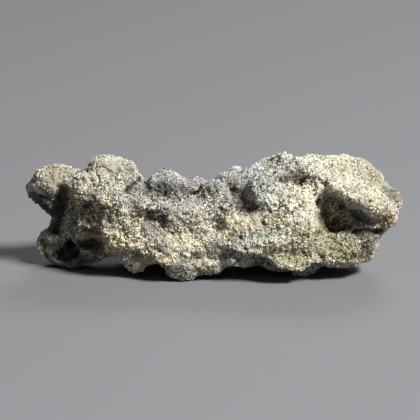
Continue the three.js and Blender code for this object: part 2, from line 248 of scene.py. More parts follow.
def smooth_fade(ratio):
    """1 at ratio 0, and 0 from ratio 1 on, with no corner in between."""
    return (1 - np.clip(ratio, 0, 1) ** 2) ** 2


def brush_share(points, skin, side, places, reach):
    """How much of a brush each point feels: 1 on the line through the places, 0 from the reach on."""
    return smooth_fade(off_line(points, spots_on(skin, side, places)) / reach)


print("share half way out:", smooth_fade(0.5))

# %% [markdown]
# ## Clefts, hollows and knobs
# Where two lobes meet, the real crust folds into dark clefts. Burst gas bubbles leave hollows, and blobs
# of melt stand out as knobs. Noise makes such forms too, but never where they belong, so each one is a
# brush stroke: a line over the skin, a radius, and a shift to the right, up and towards the viewer. A
# shift can press the skin in, raise it or push an edge sideways. The left end comes first: a lobe that
# overhangs a dark cleft, a wall of knobs, and the open bore below them.

# %% Shape the left end
def numbers(items, name, width):
    """One property of all the items, as rows of numbers."""
    found = np.empty(len(items) * width, np.float32)
    items.foreach_get(name, found)
    return found.reshape(-1, width).astype(float)


def points_of(piece):
    """The piece's points, in mm."""
    return numbers(piece.data.vertices, "co", 3) / MM


def press(points, skin, side, strokes):
    """Shifts the points by each stroke in turn."""
    directions = np.array(sight(*SIDES[side]))
    for places, radius, shift in strokes:
        share = brush_share(points, skin, side, places, radius)
        points += share[:, None] * (np.array(shift) @ directions)
    print("strokes seen from the", side + ":", len(strokes))


LEFT_STROKES = [
    # places along the stroke, radius, shift to the right, up and towards the viewer
    # the upper left lobe overhangs
    ([(-24.1, 2.9), (-23.3, 2.0), (-22.5, 1.1), (-21.7, 0.3)], 1.5, (0, 0, -1.3)),
    ([(-23.3, 2.7), (-22.1, 2.5), (-21.0, 2.0)], 1.4, (0, 0, -1.8)),
    ([(-23.4, 5.6)], 1.2, (-0.3, 0.4, 0)),
    # cleft at the left end
    ([(-20.1, 3.2), (-20.2, 1.9), (-20.5, 0.3), (-20.8, -1.6)], 1.3, (0, 0, -1.9)),
    ([(-21.3, 0.5), (-21.0, -0.8), (-21.3, -2.0)], 1.5, (0, 0, -1.2)),
    # wall right of the cleft
    ([(-19.0, 1.5), (-19.0, -0.5), (-18.8, -2.4)], 1.4, (0, 0, -0.4)),
    ([(-14.7, 1.3), (-14.7, -0.3), (-14.5, -1.9)], 1.7, (-0.2, 0, 1.0)),
    ([(-13.6, 1.1), (-13.3, -0.8)], 1.5, (0, 0, -0.5)),
    # rim of the bore
    ([(-22.6, -3.4), (-22.6, -4.5), (-22.2, -5.4)], 1.5, (-0.2, 0, -1.8)),
    # bore
    ([(-20.8, -4.4), (-20.0, -4.9)], 1.8, (0, 0, -1.3)),
    # groove from the bore
    ([(-19.0, -3.7), (-17.7, -3.7), (-16.1, -3.7), (-14.9, -4.0)], 1.2, (0, 0, -1.7)),
    ([(-18.2, -4.0)], 1.0, (0, 0, -1.0)),
    # shelf above the groove
    ([(-16.4, -2.5), (-14.9, -2.5)], 0.7, (0, 0, 0.6)),
    # knobs and dents of the wall
    ([(-18.2, 1.2)], 0.7, (0.2, 0.1, 0.8)),
    ([(-17.2, -0.4)], 0.8, (0.2, 0, 0.8)),
    ([(-15.7, -1.2)], 0.8, (0.1, 0, 0.5)),
    ([(-18.8, -1.6)], 0.7, (0.2, 0, 0.7)),
    ([(-18.5, -0.1)], 0.5, (0.2, 0, 0.5)),
    ([(-16.6, 1.5)], 0.5, (0, 0, -0.5)),
    ([(-17.8, 0.3)], 0.5, (0, 0, -0.5)),
    ([(-15.6, 0.4)], 0.5, (0, 0, -0.5)),
    ([(-17.4, -1.9)], 0.5, (0, 0, -0.5)),
    # lower rim
    ([(-17.7, -5.3), (-15.7, -5.0), (-14.0, -5.3)], 1.0, (0, 0, -0.7)),
    ([(-12.7, -4.5), (-11.1, -4.9)], 1.6, (0, 0, 0.8)),
    ([(-7.4, -6.1), (-5.8, -6.6)], 1.6, (0, 0, 0.9)),
    # crease right of the tall hump
    ([(-9.7, 5.2), (-10.5, 4.2), (-11.6, 3.2)], 0.45, (0, 0, -0.9)),
    # outline and shoulder of the tall hump
    ([(-10.4, 6.5)], 1.9, (-1.3, -1.6, 0)),
    ([(-15.4, 6.8)], 2.6, (-0.5, 0.4, 0)),
    ([(-12.7, 7.6)], 2.2, (-0.3, 0, 0)),
    ([(-15.8, 5.3)], 1.9, (0, 0, 0.4)),
    ([(-17.2, 5.0)], 1.7, (0, 0.3, 0.8)),
]
points = points_of(body)
press(points, skin, "front", LEFT_STROKES)

# %% [markdown]
# ## The middle
# Between the tall hump on the left and the wide right half lies a small hump with a saddle beside it. A
# cleft runs down from the saddle, and a ledge and a row of lobes stand out below. They are strokes of the
# same kind, most of them broad and shallow, as melt that sagged while it was soft.

# %% Shape the middle
MIDDLE_STROKES = [
    # places along the stroke, radius, shift to the right, up and towards the viewer
    # small hump
    ([(-6.7, 4.9)], 2.4, (-0.1, 1.1, 0)),
    ([(-7.9, 4.4)], 1.6, (-0.5, 0.6, 0.5)),
    # skyline right of it
    ([(0.3, 4.1)], 1.7, (0, 0.7, 0)),
    ([(8.4, 7.6)], 1.1, (0, -0.8, 0)),
    ([(11.3, 7.3)], 1.2, (0, 0.6, 0)),
    # slope under the small hump
    ([(-8.2, 3.7), (-6.4, 3.6), (-4.4, 3.4)], 1.2, (0, 0, -0.2)),
    ([(-0.5, 3.2)], 1.4, (0, 0, -0.6)),
    ([(-3.5, 3.4), (-2.3, 3.3)], 1.2, (0, 0, -0.3)),
    # cleft left of the wide right half
    ([(2.3, 3.4), (3.5, 1.6), (4.2, 0.5)], 1.4, (0, 0, -0.8)),
    # knobs round the cleft
    ([(5.2, 3.7), (6.0, 2.1)], 1.3, (0, 0, 0.6)),
    ([(1.7, -1.1)], 1.3, (0, 0, 0.6)),
    ([(-1.9, 3.0)], 1.2, (0, 0, 0.9)),
    # shallow hollow left of the middle, filled a little
    ([(-8.8, 0.0), (-7.5, -0.1), (-6.0, -0.4)], 0.9, (0, 0, 0.4)),
    # pocket in the lower middle, filled
    ([(1.9, -4.8), (3.5, -4.9), (5.4, -5.2)], 1.6, (0, 0, 2.0)),
    # crease under the right crest
    ([(11.6, 5.0)], 0.8, (0, 0, 1.0)),
    ([(8.8, 4.6), (10.4, 5.0)], 0.7, (0, 0, -0.5)),
    ([(13.1, 4.8), (14.9, 4.2)], 0.7, (0, 0, -0.6)),
    ([(11.2, 3.8), (13.5, 4.1)], 0.45, (0, 0, -0.5)),
    ([(7.2, 4.2), (8.8, 4.9), (10.4, 5.6)], 0.6, (0, 0, -0.4)),
    # fold between the wall and the ledge
    ([(14.4, -2.3), (12.3, -2.7), (10.9, -3.6), (9.5, -4.2), (8.0, -4.1)], 0.6, (0, 0, -0.3)),
    # the ledge, its hollow and the lobes below it
    ([(2.9, -4.4), (5.5, -4.5), (8.2, -4.5)], 2.2, (0, 0, 1.1)),
    ([(6.2, -4.0), (8.3, -4.0), (11.2, -4.1)], 1.6, (0, 0.2, 1.0)),
    ([(5.1, 0.7)], 1.2, (0, 0, -0.5)),
    ([(2.5, -6.1), (4.8, -6.1)], 1.8, (0, 0, 1.9)),
    ([(6.7, -5.3), (7.8, -6.1)], 1.8, (0, 0, 1.4)),
    ([(8.4, -5.2)], 1.3, (0, 0, 0.8)),
    ([(8.8, -6.6), (10.8, -6.8), (13.1, -6.6)], 1.9, (0, 0.2, 1.2)),
    ([(7.2, -6.1), (9.5, -6.2), (11.7, -6.5)], 1.6, (0, -1.0, 0.2)),
]
press(points, skin, "front", MIDDLE_STROKES)

# %% [markdown]
# ## The right end
# Here the tube is torn open. A stroke along each edge of the tear deepens it and leaves the wall above
# standing, and a few more set the corner and the foot that the tube rests on.

# %% Shape the right end
RIGHT_STROKES = [
    # places along the stroke, radius, shift to the right, up and towards the viewer
    # right hollow
    ([(14.0, 1.7), (14.1, 0.3), (14.5, -1.2), (15.6, -2.4)], 1.0, (0, 0, -1.4)),
    ([(14.1, 4.4)], 1.1, (0, 0, 0.9)),
    ([(15.8, 3.8)], 1.5, (0, 0, 1.1)),
    ([(14.1, 3.3)], 1.0, (0, 0, 0.6)),
    ([(15.2, 3.0), (15.8, 2.1), (17.0, 1.2)], 1.1, (0, 0, -1.2)),
    ([(18.1, 0.7), (19.7, -0.1), (21.0, -0.7)], 1.0, (0, 0, -1.1)),
    ([(16.8, -2.3), (18.4, -2.3), (20.0, -2.3), (22.1, -2.1)], 1.0, (0, 0, -1.6)),
    ([(20.5, -1.5), (21.5, -1.7)], 0.9, (0, -0.5, -0.3)),
    # knob and corner of the right end
    ([(23.1, 3.8)], 0.8, (-0.4, -0.5, 0)),
    ([(24.3, 3.0)], 1.0, (0.1, 0.5, 0)),
    ([(23.8, -1.1)], 1.0, (0.3, -0.3, 0)),
    # right foot
    ([(9.1, -7.4), (10.8, -7.7), (12.8, -7.7)], 1.9, (0, 1.0, 0.2)),
    # lower right corner
    ([(20.8, -5.2)], 2.0, (-1.0, 1.3, 0)),
]
press(points, skin, "front", RIGHT_STROKES)

# %% [markdown]
# ## Single pits
# A few burst bubbles stand out by themselves. They are strokes too, with one place and a small radius.
# The many lesser ones are scattered by a seeded generator further on.

# %% Sink the single pits
PIT_STROKES = [
    # place, radius, shift to the right, up and towards the viewer
    ([(-9.9, 4.9)], 0.4, (0, 0, -0.6)),
    ([(-10.8, 3.8)], 0.45, (0, 0, -0.7)),
    ([(-11.6, 3.2)], 0.4, (0, 0, -0.6)),
    ([(0.5, -1.7)], 0.5, (0, 0, -0.6)),
    ([(-1.1, -2.4)], 0.4, (0, 0, -0.5)),
    ([(1.1, 0.7)], 0.45, (0, 0, -0.4)),
    ([(6.4, -5.6)], 0.5, (0, 0, -0.6)),
    ([(17.4, -3.2)], 0.4, (0, 0, -0.6)),
    ([(10.1, 2.3)], 0.45, (0, 0, -0.4)),
    ([(-10.4, -5.0)], 0.55, (0, 0, -0.5)),
    ([(-22.9, 5.6)], 0.35, (0, 0, -0.4)),
]
press(points, skin, "front", PIT_STROKES)

# %% [markdown]
# ## The back and the underside
# A fulgurite has no good side, so the back gets folds, knobs, hollows and pits of the same sizes as the
# front. One broad stroke from below presses in the underside of the right foot, which would be a slab.
# The pressed net is stretched by now, and a second voxel Remesh, finer than the first, evens it out.

# %% Shape the back and renew the net
UNDERSIDE_STROKES = [
    # places along the stroke, radius, shift to the right, up and towards the viewer
    ([(9.0, 3.4), (12.5, 3.4)], 2.6, (0, 0, -1.3)),
]
BACK_STROKES = [
    # places along the stroke, radius, shift to the right, up and towards the viewer
    ([(-20.5, 3.4), (-17.0, 1.2), (-13.5, 1.2), (-9.5, -1.4), (-5.5, -2.2)], 0.9, (0, 0, -0.9)),
    ([(-14.0, -2.4)], 1.7, (0, 0, -1.2)),
    ([(-6.2, 3.8), (-4.6, 1.5), (-5.8, -1.5)], 0.8, (0, 0, -0.8)),
    ([(0.5, -0.8)], 1.6, (0, 0.2, 0.8)),
    ([(-18.5, -2.5)], 1.9, (0, 0, 0.6)),
    ([(7.0, 3.6), (8.2, 0.6), (6.6, -2.8)], 0.8, (0, 0, -0.9)),
    ([(13.0, -1.5)], 1.2, (0, 0, -1.0)),
    ([(-10.5, 4.0), (-8.0, 3.0)], 1.0, (0, 0, 0.6)),
    ([(3.4, 1.8)], 0.5, (0, 0, -0.7)),
    ([(-10.3, 1.9)], 0.5, (0, 0, -0.6)),
    ([(16.8, 0.5)], 0.45, (0, 0, -0.6)),
    ([(-3.0, -2.6)], 0.6, (0, 0, -0.7)),
    ([(-17.0, 4.2)], 0.5, (0, 0, -0.6)),
]
FINE_NET, FINE_EASING = 0.196 * MM, 4


def put_back(piece, points):
    """Writes the points, given in mm, into the piece's mesh."""
    piece.data.vertices.foreach_set("co", (points * MM).astype(np.float32).ravel())
    piece.data.update()


press(points, skin, "underside", UNDERSIDE_STROKES)
press(points, skin, "back", BACK_STROKES)
put_back(body, points)
renet(body, FINE_NET, FINE_EASING)
print("fine net:", len(body.data.vertices), "points")

# %% [markdown]
# ## Noise for the relief
# Relief finer than the strokes has no fixed places, so it comes from noise. Two kinds serve: Voronoi
# distances, which are high near each cell's middle and low along its walls, and a smooth fractal noise.
# Noise lies on a grid, and a grid in line with the tube would show, so the points are slanted first.

# %% Two kinds of noise
SLANT = np.array(Euler((0.6, 0.9, 0.4)).to_matrix())
OCTAVE_WEAKENING, OCTAVE_SHRINKING = 1, 2


def noise_places(points, size, start):
    """Where in the noise the points fall. Another start gives another stretch of it, as a seed does."""
    return [Vector(place) for place in points @ SLANT / size + start]


def cells(points, size, start):
    """For each point, how far inside its Voronoi cell it lies: 1 in the middle, about 0 at the walls."""
    return np.array([1 - min(1, noise.voronoi(place)[0][0]) for place in noise_places(points, size, start)])


def swell(points, size, start, octaves=2):
    """Smooth random heights from about -1 to 1, with humps of this size."""
    found = noise_places(points, size, start)
    return np.array([noise.fractal(place, OCTAVE_WEAKENING, OCTAVE_SHRINKING, octaves) for place in found])


points = points_of(body)
print("a few swells 2 mm wide:", swell(points[:4], 2, start=0).round(2))

# %% [markdown]
# ## Nodules
# The crust swells in rounded nodules with sharp creases between them, like a cauliflower, and the Voronoi
# cells give just that, in two sizes. Warped places keep their walls from running straight. On the real
# thing some stretches are knobbly and others nearly smooth, so a slow noise and a few listed marks make
# the nodules stronger or weaker: without them the relief would look like wallpaper.

# %% Raise the nodules
NODULES = ((2.1, 0.34), (1.0, 0.36))
NODULE_MIDDLE, NODULE_WARP = 0.55, 0.3
PATCH_SIZE, PATCH_STRENGTH, PATCH_SPREAD = 6, 0.85, 0.9
WEAKEST, STRONGEST = 0.3, 1.6
ROUGHER = [
    # side, places, reach, how much rougher, or smoother where negative
    ("front", [(-17.5, 1.5), (-17.0, -1.0)], 3.2, 1.8),
    ("front", [(2.5, 2.0), (0.0, 3.0)], 2.5, 0.5),
    ("front", [(-13.5, 6.4)], 4.0, -0.45),
    ("front", [(12.0, 1.5)], 2.5, -0.4),
    ("front", [(-9.5, -3.0), (-1.0, -3.0)], 3.8, -0.4),
    ("front", [(17.0, 5.5)], 5.0, -0.5),
    ("back", [(-15.0, -2.0), (15.0, -2.0)], 5.0, 0.6),
]
skin = skin_of(body)
patches = PATCH_STRENGTH + PATCH_SPREAD * swell(points, PATCH_SIZE, start=11)
strength = np.clip(patches, WEAKEST, STRONGEST)
for side, places, reach, extra in ROUGHER:
    strength += extra * brush_share(points, skin, side, places, reach)
height = np.zeros(len(points))
for size, rise in NODULES:
    warp = np.stack([swell(points, size, start) for start in (5, 6, 7)], 1)
    nodules = cells(points + NODULE_WARP * size * warp, size, start=31)
    height += rise * (nodules - NODULE_MIDDLE) * strength
print("nodules, mm:", height.min().round(2), "to", height.max().round(2))

# %% [markdown]
# ## Fissures and unevenness
# The glass cooled and cracked. A crack is a thin winding line, and a slow noise draws one wherever it
# changes sign. A second noise decides where on the tube the cracks open at all. A last, fine unevenness
# lies over everything, so that nothing between the grains is smooth.

# %% Open the fissures
FISSURE_SIZE, FISSURE_WIDTH, FISSURE_DEPTH = 3.4, 0.10, 0.28
CRACKED_SIZE, CRACKED_RISE = 9, 1.6
UNEVEN_SIZE, UNEVEN_HEIGHT = 0.5, 0.16
cracked = np.clip(CRACKED_RISE * swell(points, CRACKED_SIZE, start=71), 0, 1)
crack = 1 - np.clip(np.abs(swell(points, FISSURE_SIZE, start=53)) / FISSURE_WIDTH, 0, 1)
height -= FISSURE_DEPTH * crack * cracked
height += UNEVEN_HEIGHT * swell(points, UNEVEN_SIZE, start=23)
print("relief, mm:", height.min().round(2), "to", height.max().round(2))

# %% [markdown]
# ## Gas pits
# Steam and air escaped while the sand was molten, and their last bubbles left pits of up to a millimetre.
# They lie at random, so a seeded generator picks the points, and each pit is a small dent with few grains
# in it. All the relief then moves the points along their normals, less the room that the grains will
# fill.

# %% Scatter gas pits
PITS = 190
PIT_RADIUS, PIT_DEPTH = (0.22, 0.50), (0.25, 0.60)
CRUST_ROOM = 0.10
rng = np.random.default_rng(4)
pitted = np.zeros(len(points))
for k in rng.choice(len(points), PITS, replace=False):
    radius, depth = rng.uniform(*PIT_RADIUS), rng.uniform(*PIT_DEPTH)
    near = smooth_fade(np.linalg.norm(points - points[k], axis=1) / radius)
    height -= depth * near
    pitted = np.maximum(pitted, near)
points += numbers(body.data.vertex_normals, "vector", 3) * (height - CRUST_ROOM)[:, None]
put_back(body, points)
print(PITS, "pits on", round(100 * (pitted > 0).mean(), 1), "% of the skin")

# %% [markdown]
# ## Shelter
# The hollows are darkened towards brown, and the tips are rubbed pale. To tell them apart, a second copy
# of the body is smoothed until the relief is gone: where the body lies below its smooth copy it is a
# hollow, and above it a tip. An ambient occlusion bake would tell too, but this is a plain measure of
# depth, in millimetres.

# %% Measure hollows and tips
IRONING_FACTOR, IRONING_ROUNDS = 0.8, 90
ironed = shown("ironed", body.data.copy())
ease(ironed, IRONING_FACTOR, IRONING_ROUNDS)
settle(ironed)
outward = numbers(ironed.data.vertex_normals, "vector", 3)
sunk = ((points_of(ironed) - points) * outward).sum(1)
bpy.data.objects.remove(ironed)
print("sunk, mm:", np.percentile(sunk, (1, 25, 50, 75, 99)).round(2))

# %% [markdown]
# ## Ground colours of the crust
# Quartz sand fuses to cream and white, and to grey where more of it turned to glass. The two mix in slow
# patches over the whole tube. Colours are written as sRGB hex values, as a paint program shows them, and
# turned to the linear numbers that Blender works in.

# %% Mix cream and grey
CREAM, GREY = "#ddd6bf", "#c3c3bf"
GREY_SHARE, GREY_SPREAD, GREY_SIZE = 0.5, 1.2, 6


def linear(code):
    """An sRGB hex colour as linear numbers with an alpha."""
    parts = [int(code[i : i + 2], 16) / 255 for i in (1, 3, 5)]
    return [x / 12.92 if x <= 0.04045 else ((x + 0.055) / 1.055) ** 2.4 for x in parts] + [1]


def mix(colours, code, share):
    """The colours, with this share of another colour mixed in at each point."""
    return colours + np.clip(share, 0, 1)[:, None] * (np.array(linear(code)) - colours)


grey_here = GREY_SHARE + GREY_SPREAD * swell(points, GREY_SIZE, start=41)
tint = mix(np.tile(linear(CREAM), (len(points), 1)), GREY, grey_here)
print("mean tint:", tint.mean(0).round(2))

# %% [markdown]
# ## Washes on the left end
# Iron and clay stain a fulgurite in patches that are part of its look: here a pale overhang over a dark
# bore, and a wall of yellowish knobs. An even noise can't give that. Each patch is a wash, as in
# watercolour: a line over the skin, a reach, a colour and a strength. Some washes here are painted shade:
# near black under the overhang and in the cleft, below the bore and in the groove under the wall, and
# dark on the top of the wall and in a crease. Two shaded spots are painted pale, as painted light. A
# ragged noise is added to the distance, so that its edge frays instead of fading evenly. The colour is
# stored on the body's points, and the grains take it over later.

# %% Lay the washes of the left end
TEAR_SIZE, TEAR_DEPTH, TEAR_OCTAVES = 1.3, 0.35, 3
SPECK_SIZE, SPECK_DEPTH = 0.45, 0.25
WASH_FULL, WASH_FALL = 1.7, 1.5
ragged = TEAR_DEPTH * swell(points, TEAR_SIZE, start=61, octaves=TEAR_OCTAVES)
ragged += SPECK_DEPTH * swell(points, SPECK_SIZE, start=67)


def wash_share(points, skin, side, places, reach):
    """How much of a wash each point takes: 1 near the line through the places, 0 past a ragged edge."""
    away = off_line(points, spots_on(skin, side, places)) / reach + ragged
    return np.clip(WASH_FULL - WASH_FALL * away, 0, 1)


def lay(tint, points, skin, side, washes):
    """The tint with these washes laid over it, one after another."""
    for places, reach, code, strength in washes:
        tint = mix(tint, code, strength * wash_share(points, skin, side, places, reach))
    print("washes seen from the", side + ":", len(washes))
    return tint


LEFT_WASHES = [
    # places along the wash, reach, colour, strength
    ([(-8.4, -2.5), (-1.1, -2.1)], 4.0, "#e6dcc6", 0.6),
    ([(-21.5, 5.8)], 3.4, "#b3a98a", 0.8),
    ([(-13.5, 6.8)], 4.2, "#d2ccb6", 0.8),
    # painted shade: the underside of the upper left lobe and the cleft below it, near black
    ([(-23.5, 2.0), (-22.6, 1.2), (-21.7, 0.5)], 1.4, "#4c463f", 0.9),
    ([(-22.5, 2.4), (-21.7, 1.3), (-20.9, 0.8)], 1.6, "#2e2a27", 0.95),
    ([(-23.3, 2.8), (-22.2, 2.8), (-21.0, 2.5)], 1.3, "#3f3a35", 0.9),
    ([(-20.2, 3.4), (-20.4, 1.9), (-20.6, 0.0), (-21.0, -1.9)], 1.4, "#2e2a26", 0.9),
    ([(-17.2, 0.0)], 3.2, "#cdc4a2", 0.8),
    ([(-18.2, 1.3)], 0.6, "#d0c8ac", 0.8),
    ([(-17.2, -0.4)], 0.6, "#d0c8ac", 0.8),
    ([(-15.7, -1.2), (-15.1, -0.4)], 0.7, "#d0c8ac", 0.8),
    ([(-18.8, -1.6)], 0.5, "#d0c8ac", 0.8),
    ([(-22.6, -3.4), (-22.6, -4.5), (-22.1, -5.6)], 1.6, "#a5988d", 0.9),
    # painted shade: the band below the bore and the groove under the wall, near black
    ([(-20.6, -6.1), (-19.3, -6.2), (-17.7, -5.7), (-16.1, -5.2)], 1.4, "#35302c", 0.9),
    ([(-19.0, -3.4), (-17.4, -3.6), (-15.1, -3.8)], 1.3, "#302b26", 0.9),
    ([(-16.1, -5.4), (-14.5, -5.6)], 1.4, "#8a7e76", 0.85),
    ([(-10.3, -6.2)], 1.5, "#cdbfae", 0.85),
    ([(-7.8, -6.1), (-5.5, -6.1)], 1.6, "#e8dcba", 0.85),
    ([(-5.8, -3.2), (-5.8, -3.7)], 1.4, "#827e78", 0.85),
    ([(-13.5, -2.7), (-12.1, -3.6), (-10.4, -4.1)], 2.0, "#f2e7c6", 0.8),
    ([(-14.3, -1.3)], 1.0, "#9a907a", 0.75),
    # painted light: the shaded left flank of the tall hump, painted pale
    ([(-16.4, 6.5)], 1.3, "#fbf6e8", 0.9),
    # painted shade: the top of the wall, under the ridge
    ([(-18.2, 2.3), (-16.1, 2.4)], 1.1, "#6f6756", 0.85),
    ([(-17.6, -2.0), (-15.3, -2.1)], 1.2, "#7c725c", 0.8),
    ([(-8.4, -1.6)], 1.3, "#a5a19a", 0.8),
    ([(-14.5, -4.0), (-13.2, -4.1), (-11.9, -4.5)], 1.4, "#f8e6b4", 0.8),
    ([(-14.5, 1.2), (-12.8, 0.8)], 1.4, "#dcd0b4", 0.65),
    ([(-19.3, 3.8)], 1.0, "#e8dcc0", 0.7),
    ([(-23.3, 3.7)], 1.5, "#e8e2cf", 0.8),
    ([(-11.6, 6.5), (-11.3, 4.6)], 1.6, "#a9a79d", 0.8),
    ([(-15.2, 4.8)], 1.4, "#f6f1e2", 0.8),
    # painted light: a shaded patch of the wall near the tall hump, painted pale
    ([(-15.8, -0.4)], 1.6, "#f8eecc", 0.9),
    # painted shade: the crease right of the tall hump, near black
    ([(-9.7, 5.0), (-10.5, 4.2), (-11.5, 3.3)], 0.45, "#2c2a28", 0.95),
]
skin = skin_of(body)
tint = lay(tint, points, skin, "front", LEFT_WASHES)

# %% [markdown]
# ## Washes on the middle
# The small hump and the skyline are cool grey, where the melt turned to glass, and the band below them is
# cream. Two of the pits are brown inside. The slope under the small hump and the underside of the bottom
# lobe are painted dark, as painted shade, and the cleft is brown, painted darker as painted shade. The
# shade under the ledge is painted pale, as painted light.

# %% Lay the washes of the middle
MIDDLE_WASHES = [
    # places along the wash, reach, colour, strength
    ([(-9.7, 3.0), (-8.4, 2.3)], 1.5, "#9a9792", 0.9),
    ([(-7.6, 4.2)], 1.4, "#f4f4f6", 0.9),
    ([(-6.0, 5.3)], 2.8, "#a0a2a5", 0.8),
    ([(-3.1, 4.6)], 1.2, "#8e8f93", 0.8),
    ([(-4.4, 3.2), (-3.1, 4.5), (-1.5, 4.4)], 1.4, "#a6a2a8", 0.85),
    ([(0.3, 3.6)], 1.7, "#b4b5b6", 0.8),
    # painted shade: the slope under the small hump, which faces down
    ([(-8.0, 3.4), (-6.0, 3.3), (-4.2, 3.2), (-1.8, 3.3)], 1.3, "#77716d", 0.8),
    ([(-6.4, 1.7), (-3.1, 1.9)], 2.2, "#bcbcb5", 0.7),
    ([(-9.2, 0.3), (-7.4, 0.0)], 1.2, "#8a857e", 0.7),
    ([(-6.0, -0.4)], 1.0, "#6e5442", 0.8),
    ([(-4.7, -3.2), (-3.1, -4.0), (-1.3, -4.5)], 2.0, "#fff6d6", 0.85),
    ([(1.9, 2.1)], 2.4, "#92948a", 0.8),
    ([(4.2, 5.8)], 3.8, "#c4c7cc", 0.8),
    # the cleft: its brown, painted darker as painted shade
    ([(2.3, 4.0), (3.4, 2.1), (4.2, 0.5)], 1.4, "#a0968f", 0.8),
    ([(-1.4, 1.5), (-0.6, -0.7)], 1.4, "#f4f2e8", 0.7),
    # painted shade: the top of the cleft
    ([(1.8, 3.6)], 1.5, "#8d8b89", 0.8),
    # painted shade: the foot of the cleft
    ([(3.9, 0.3)], 1.2, "#8d8278", 0.8),
    ([(-0.2, 1.1), (2.5, -0.1), (6.4, 0.1), (8.6, -0.8)], 0.9, "#b0aca4", 0.7),
    ([(7.2, 4.6), (6.4, 3.0)], 1.1, "#9a9ca0", 0.7),
    ([(10.1, 2.1)], 0.8, "#a8a6a4", 0.7),
    ([(7.2, 1.6)], 1.5, "#fbf9f0", 0.85),
    # painted shade: the foot of the cleft
    ([(5.0, 0.5)], 1.2, "#8f857d", 0.8),
    ([(8.4, -5.0)], 1.3, "#fbf3d4", 0.85),
    ([(2.2, -1.6), (5.5, -1.5)], 2.0, "#fdf2d0", 0.9),
    ([(7.5, -1.2), (9.5, -1.3)], 1.7, "#e6d7b0", 0.7),
    ([(10.9, -2.8), (11.6, -4.1)], 1.5, "#f6ecc9", 0.85),
    ([(3.5, -3.6), (6.4, -3.3), (10.1, -2.9)], 1.6, "#eaecde", 0.85),
    ([(3.0, -4.1)], 1.2, "#a39c90", 0.75),
    ([(0.3, -1.7)], 0.5, "#86664a", 0.8),
    ([(-1.1, -2.4)], 0.5, "#7d5b3e", 0.8),
    ([(-0.1, -4.1), (0.7, -5.2)], 1.3, "#b9b4a8", 0.8),
    ([(2.2, -4.8), (4.3, -5.2)], 1.3, "#d8d4c6", 0.8),
    ([(-4.3, -5.0)], 1.5, "#fffae4", 0.9),
    ([(-8.3, -4.2)], 1.4, "#fdf4d8", 0.85),
    ([(-12.5, -4.1)], 1.3, "#fff4d2", 0.85),
    ([(-1.9, 2.9)], 1.0, "#dcdad6", 0.8),
    ([(1.5, -6.4), (3.5, -6.4), (5.6, -6.2)], 1.3, "#e9e6d2", 0.9),
    # painted light: the shade under the ledge, painted pale
    ([(7.5, -4.9)], 1.9, "#fff6d6", 0.95),
    ([(10.1, -5.7), (12.5, -5.4)], 2.2, "#c8c09a", 0.9),
    # painted shade: the underside of the bottom lobe
    ([(-5.5, -7.3), (-4.0, -8.0)], 1.4, "#6e675f", 0.85),
]
tint = lay(tint, points, skin, "front", MIDDLE_WASHES)

# %% [markdown]
# ## Washes on the right end
# The big lobe is the palest part. The torn opening below it is olive to brown, and the tip is stained
# ochre. The strip along the lower edge of the opening is painted dark, as painted shade, and the crease
# under the right crest is brownish, painted darker as painted shade.

# %% Lay the washes of the right end
RIGHT_WASHES = [
    # places along the wash, reach, colour, strength
    ([(7.5, 6.8), (10.1, 7.4), (13.1, 6.8)], 1.9, "#d2d5d7", 0.8),
    ([(16.1, 6.4)], 6.6, "#e9e3ce", 0.9),
    ([(17.0, 2.8), (21.5, 1.3)], 1.5, "#e6e0cc", 0.75),
    # the crease under the right crest: brownish, and painted shade
    ([(9.6, 4.9), (11.2, 5.3), (12.9, 4.5)], 0.8, "#857d64", 0.85),
    ([(14.3, 4.1), (16.5, 3.0)], 1.3, "#fff8e0", 0.9),
    ([(19.4, 7.4), (20.8, 6.1), (21.7, 4.8), (22.3, 3.7)], 1.3, "#bfae86", 0.6),
    ([(24.2, 2.7)], 1.8, "#7c6e50", 0.85),
    ([(12.5, 1.2)], 2.9, "#fcf3da", 0.9),
    ([(10.9, -1.7), (13.1, -1.9)], 1.6, "#fcf0cc", 0.85),
    ([(11.1, -0.3)], 1.6, "#f6f4ec", 0.7),
    ([(12.5, 7.2), (13.9, 6.6)], 1.5, "#e6e6e4", 0.55),
    ([(15.4, 0.3)], 2.4, "#fff2cc", 0.9),
    ([(14.1, 1.7)], 1.0, "#7d6d50", 0.85),
    ([(16.8, -4.0)], 4.2, "#cdc29a", 0.9),
    ([(18.1, -3.6)], 1.6, "#a0977a", 0.7),
    ([(13.7, 0.3), (14.3, -1.1), (15.1, -2.1)], 0.7, "#968b70", 0.75),
    ([(20.5, -4.0)], 3.0, "#625a47", 0.85),
    ([(21.0, 1.3)], 1.5, "#ddd1ac", 0.7),
    ([(22.6, -0.4)], 1.7, "#ccb284", 0.8),
    # painted shade: the dark strip along the lower edge of the opening
    ([(16.5, -2.4), (18.4, -2.3), (20.2, -2.1), (21.9, -2.1)], 0.7, "#5a5244", 0.8),
    ([(16.5, -2.9), (18.4, -2.8), (20.5, -2.8)], 0.9, "#968d70", 0.75),
    ([(18.1, 6.6), (20.0, 6.2)], 2.8, "#c6bfa8", 0.75),
    ([(21.8, 5.6)], 1.5, "#9c8856", 0.8),
    # more painted shade at the lower edge of the opening
    ([(20.9, -2.4)], 1.0, "#6a6250", 0.8),
    ([(14.4, -2.3), (12.3, -2.7), (10.9, -3.6), (9.5, -4.2), (8.0, -4.1)], 0.4, "#8d8568", 0.8),
]
tint = lay(tint, points, skin, "front", RIGHT_WASHES)

# %% [markdown]
# ## The back, and what depth does to colour
# The back gets broad washes of the same colours, and darker ones along the folds and hollows pressed
# into it. Over all of them, the measure of depth darkens the hollows towards brown and whitens the rubbed
# tips, and what faces down is painted greyer, as painted shade. The sum is stored as a colour attribute on
# the points.

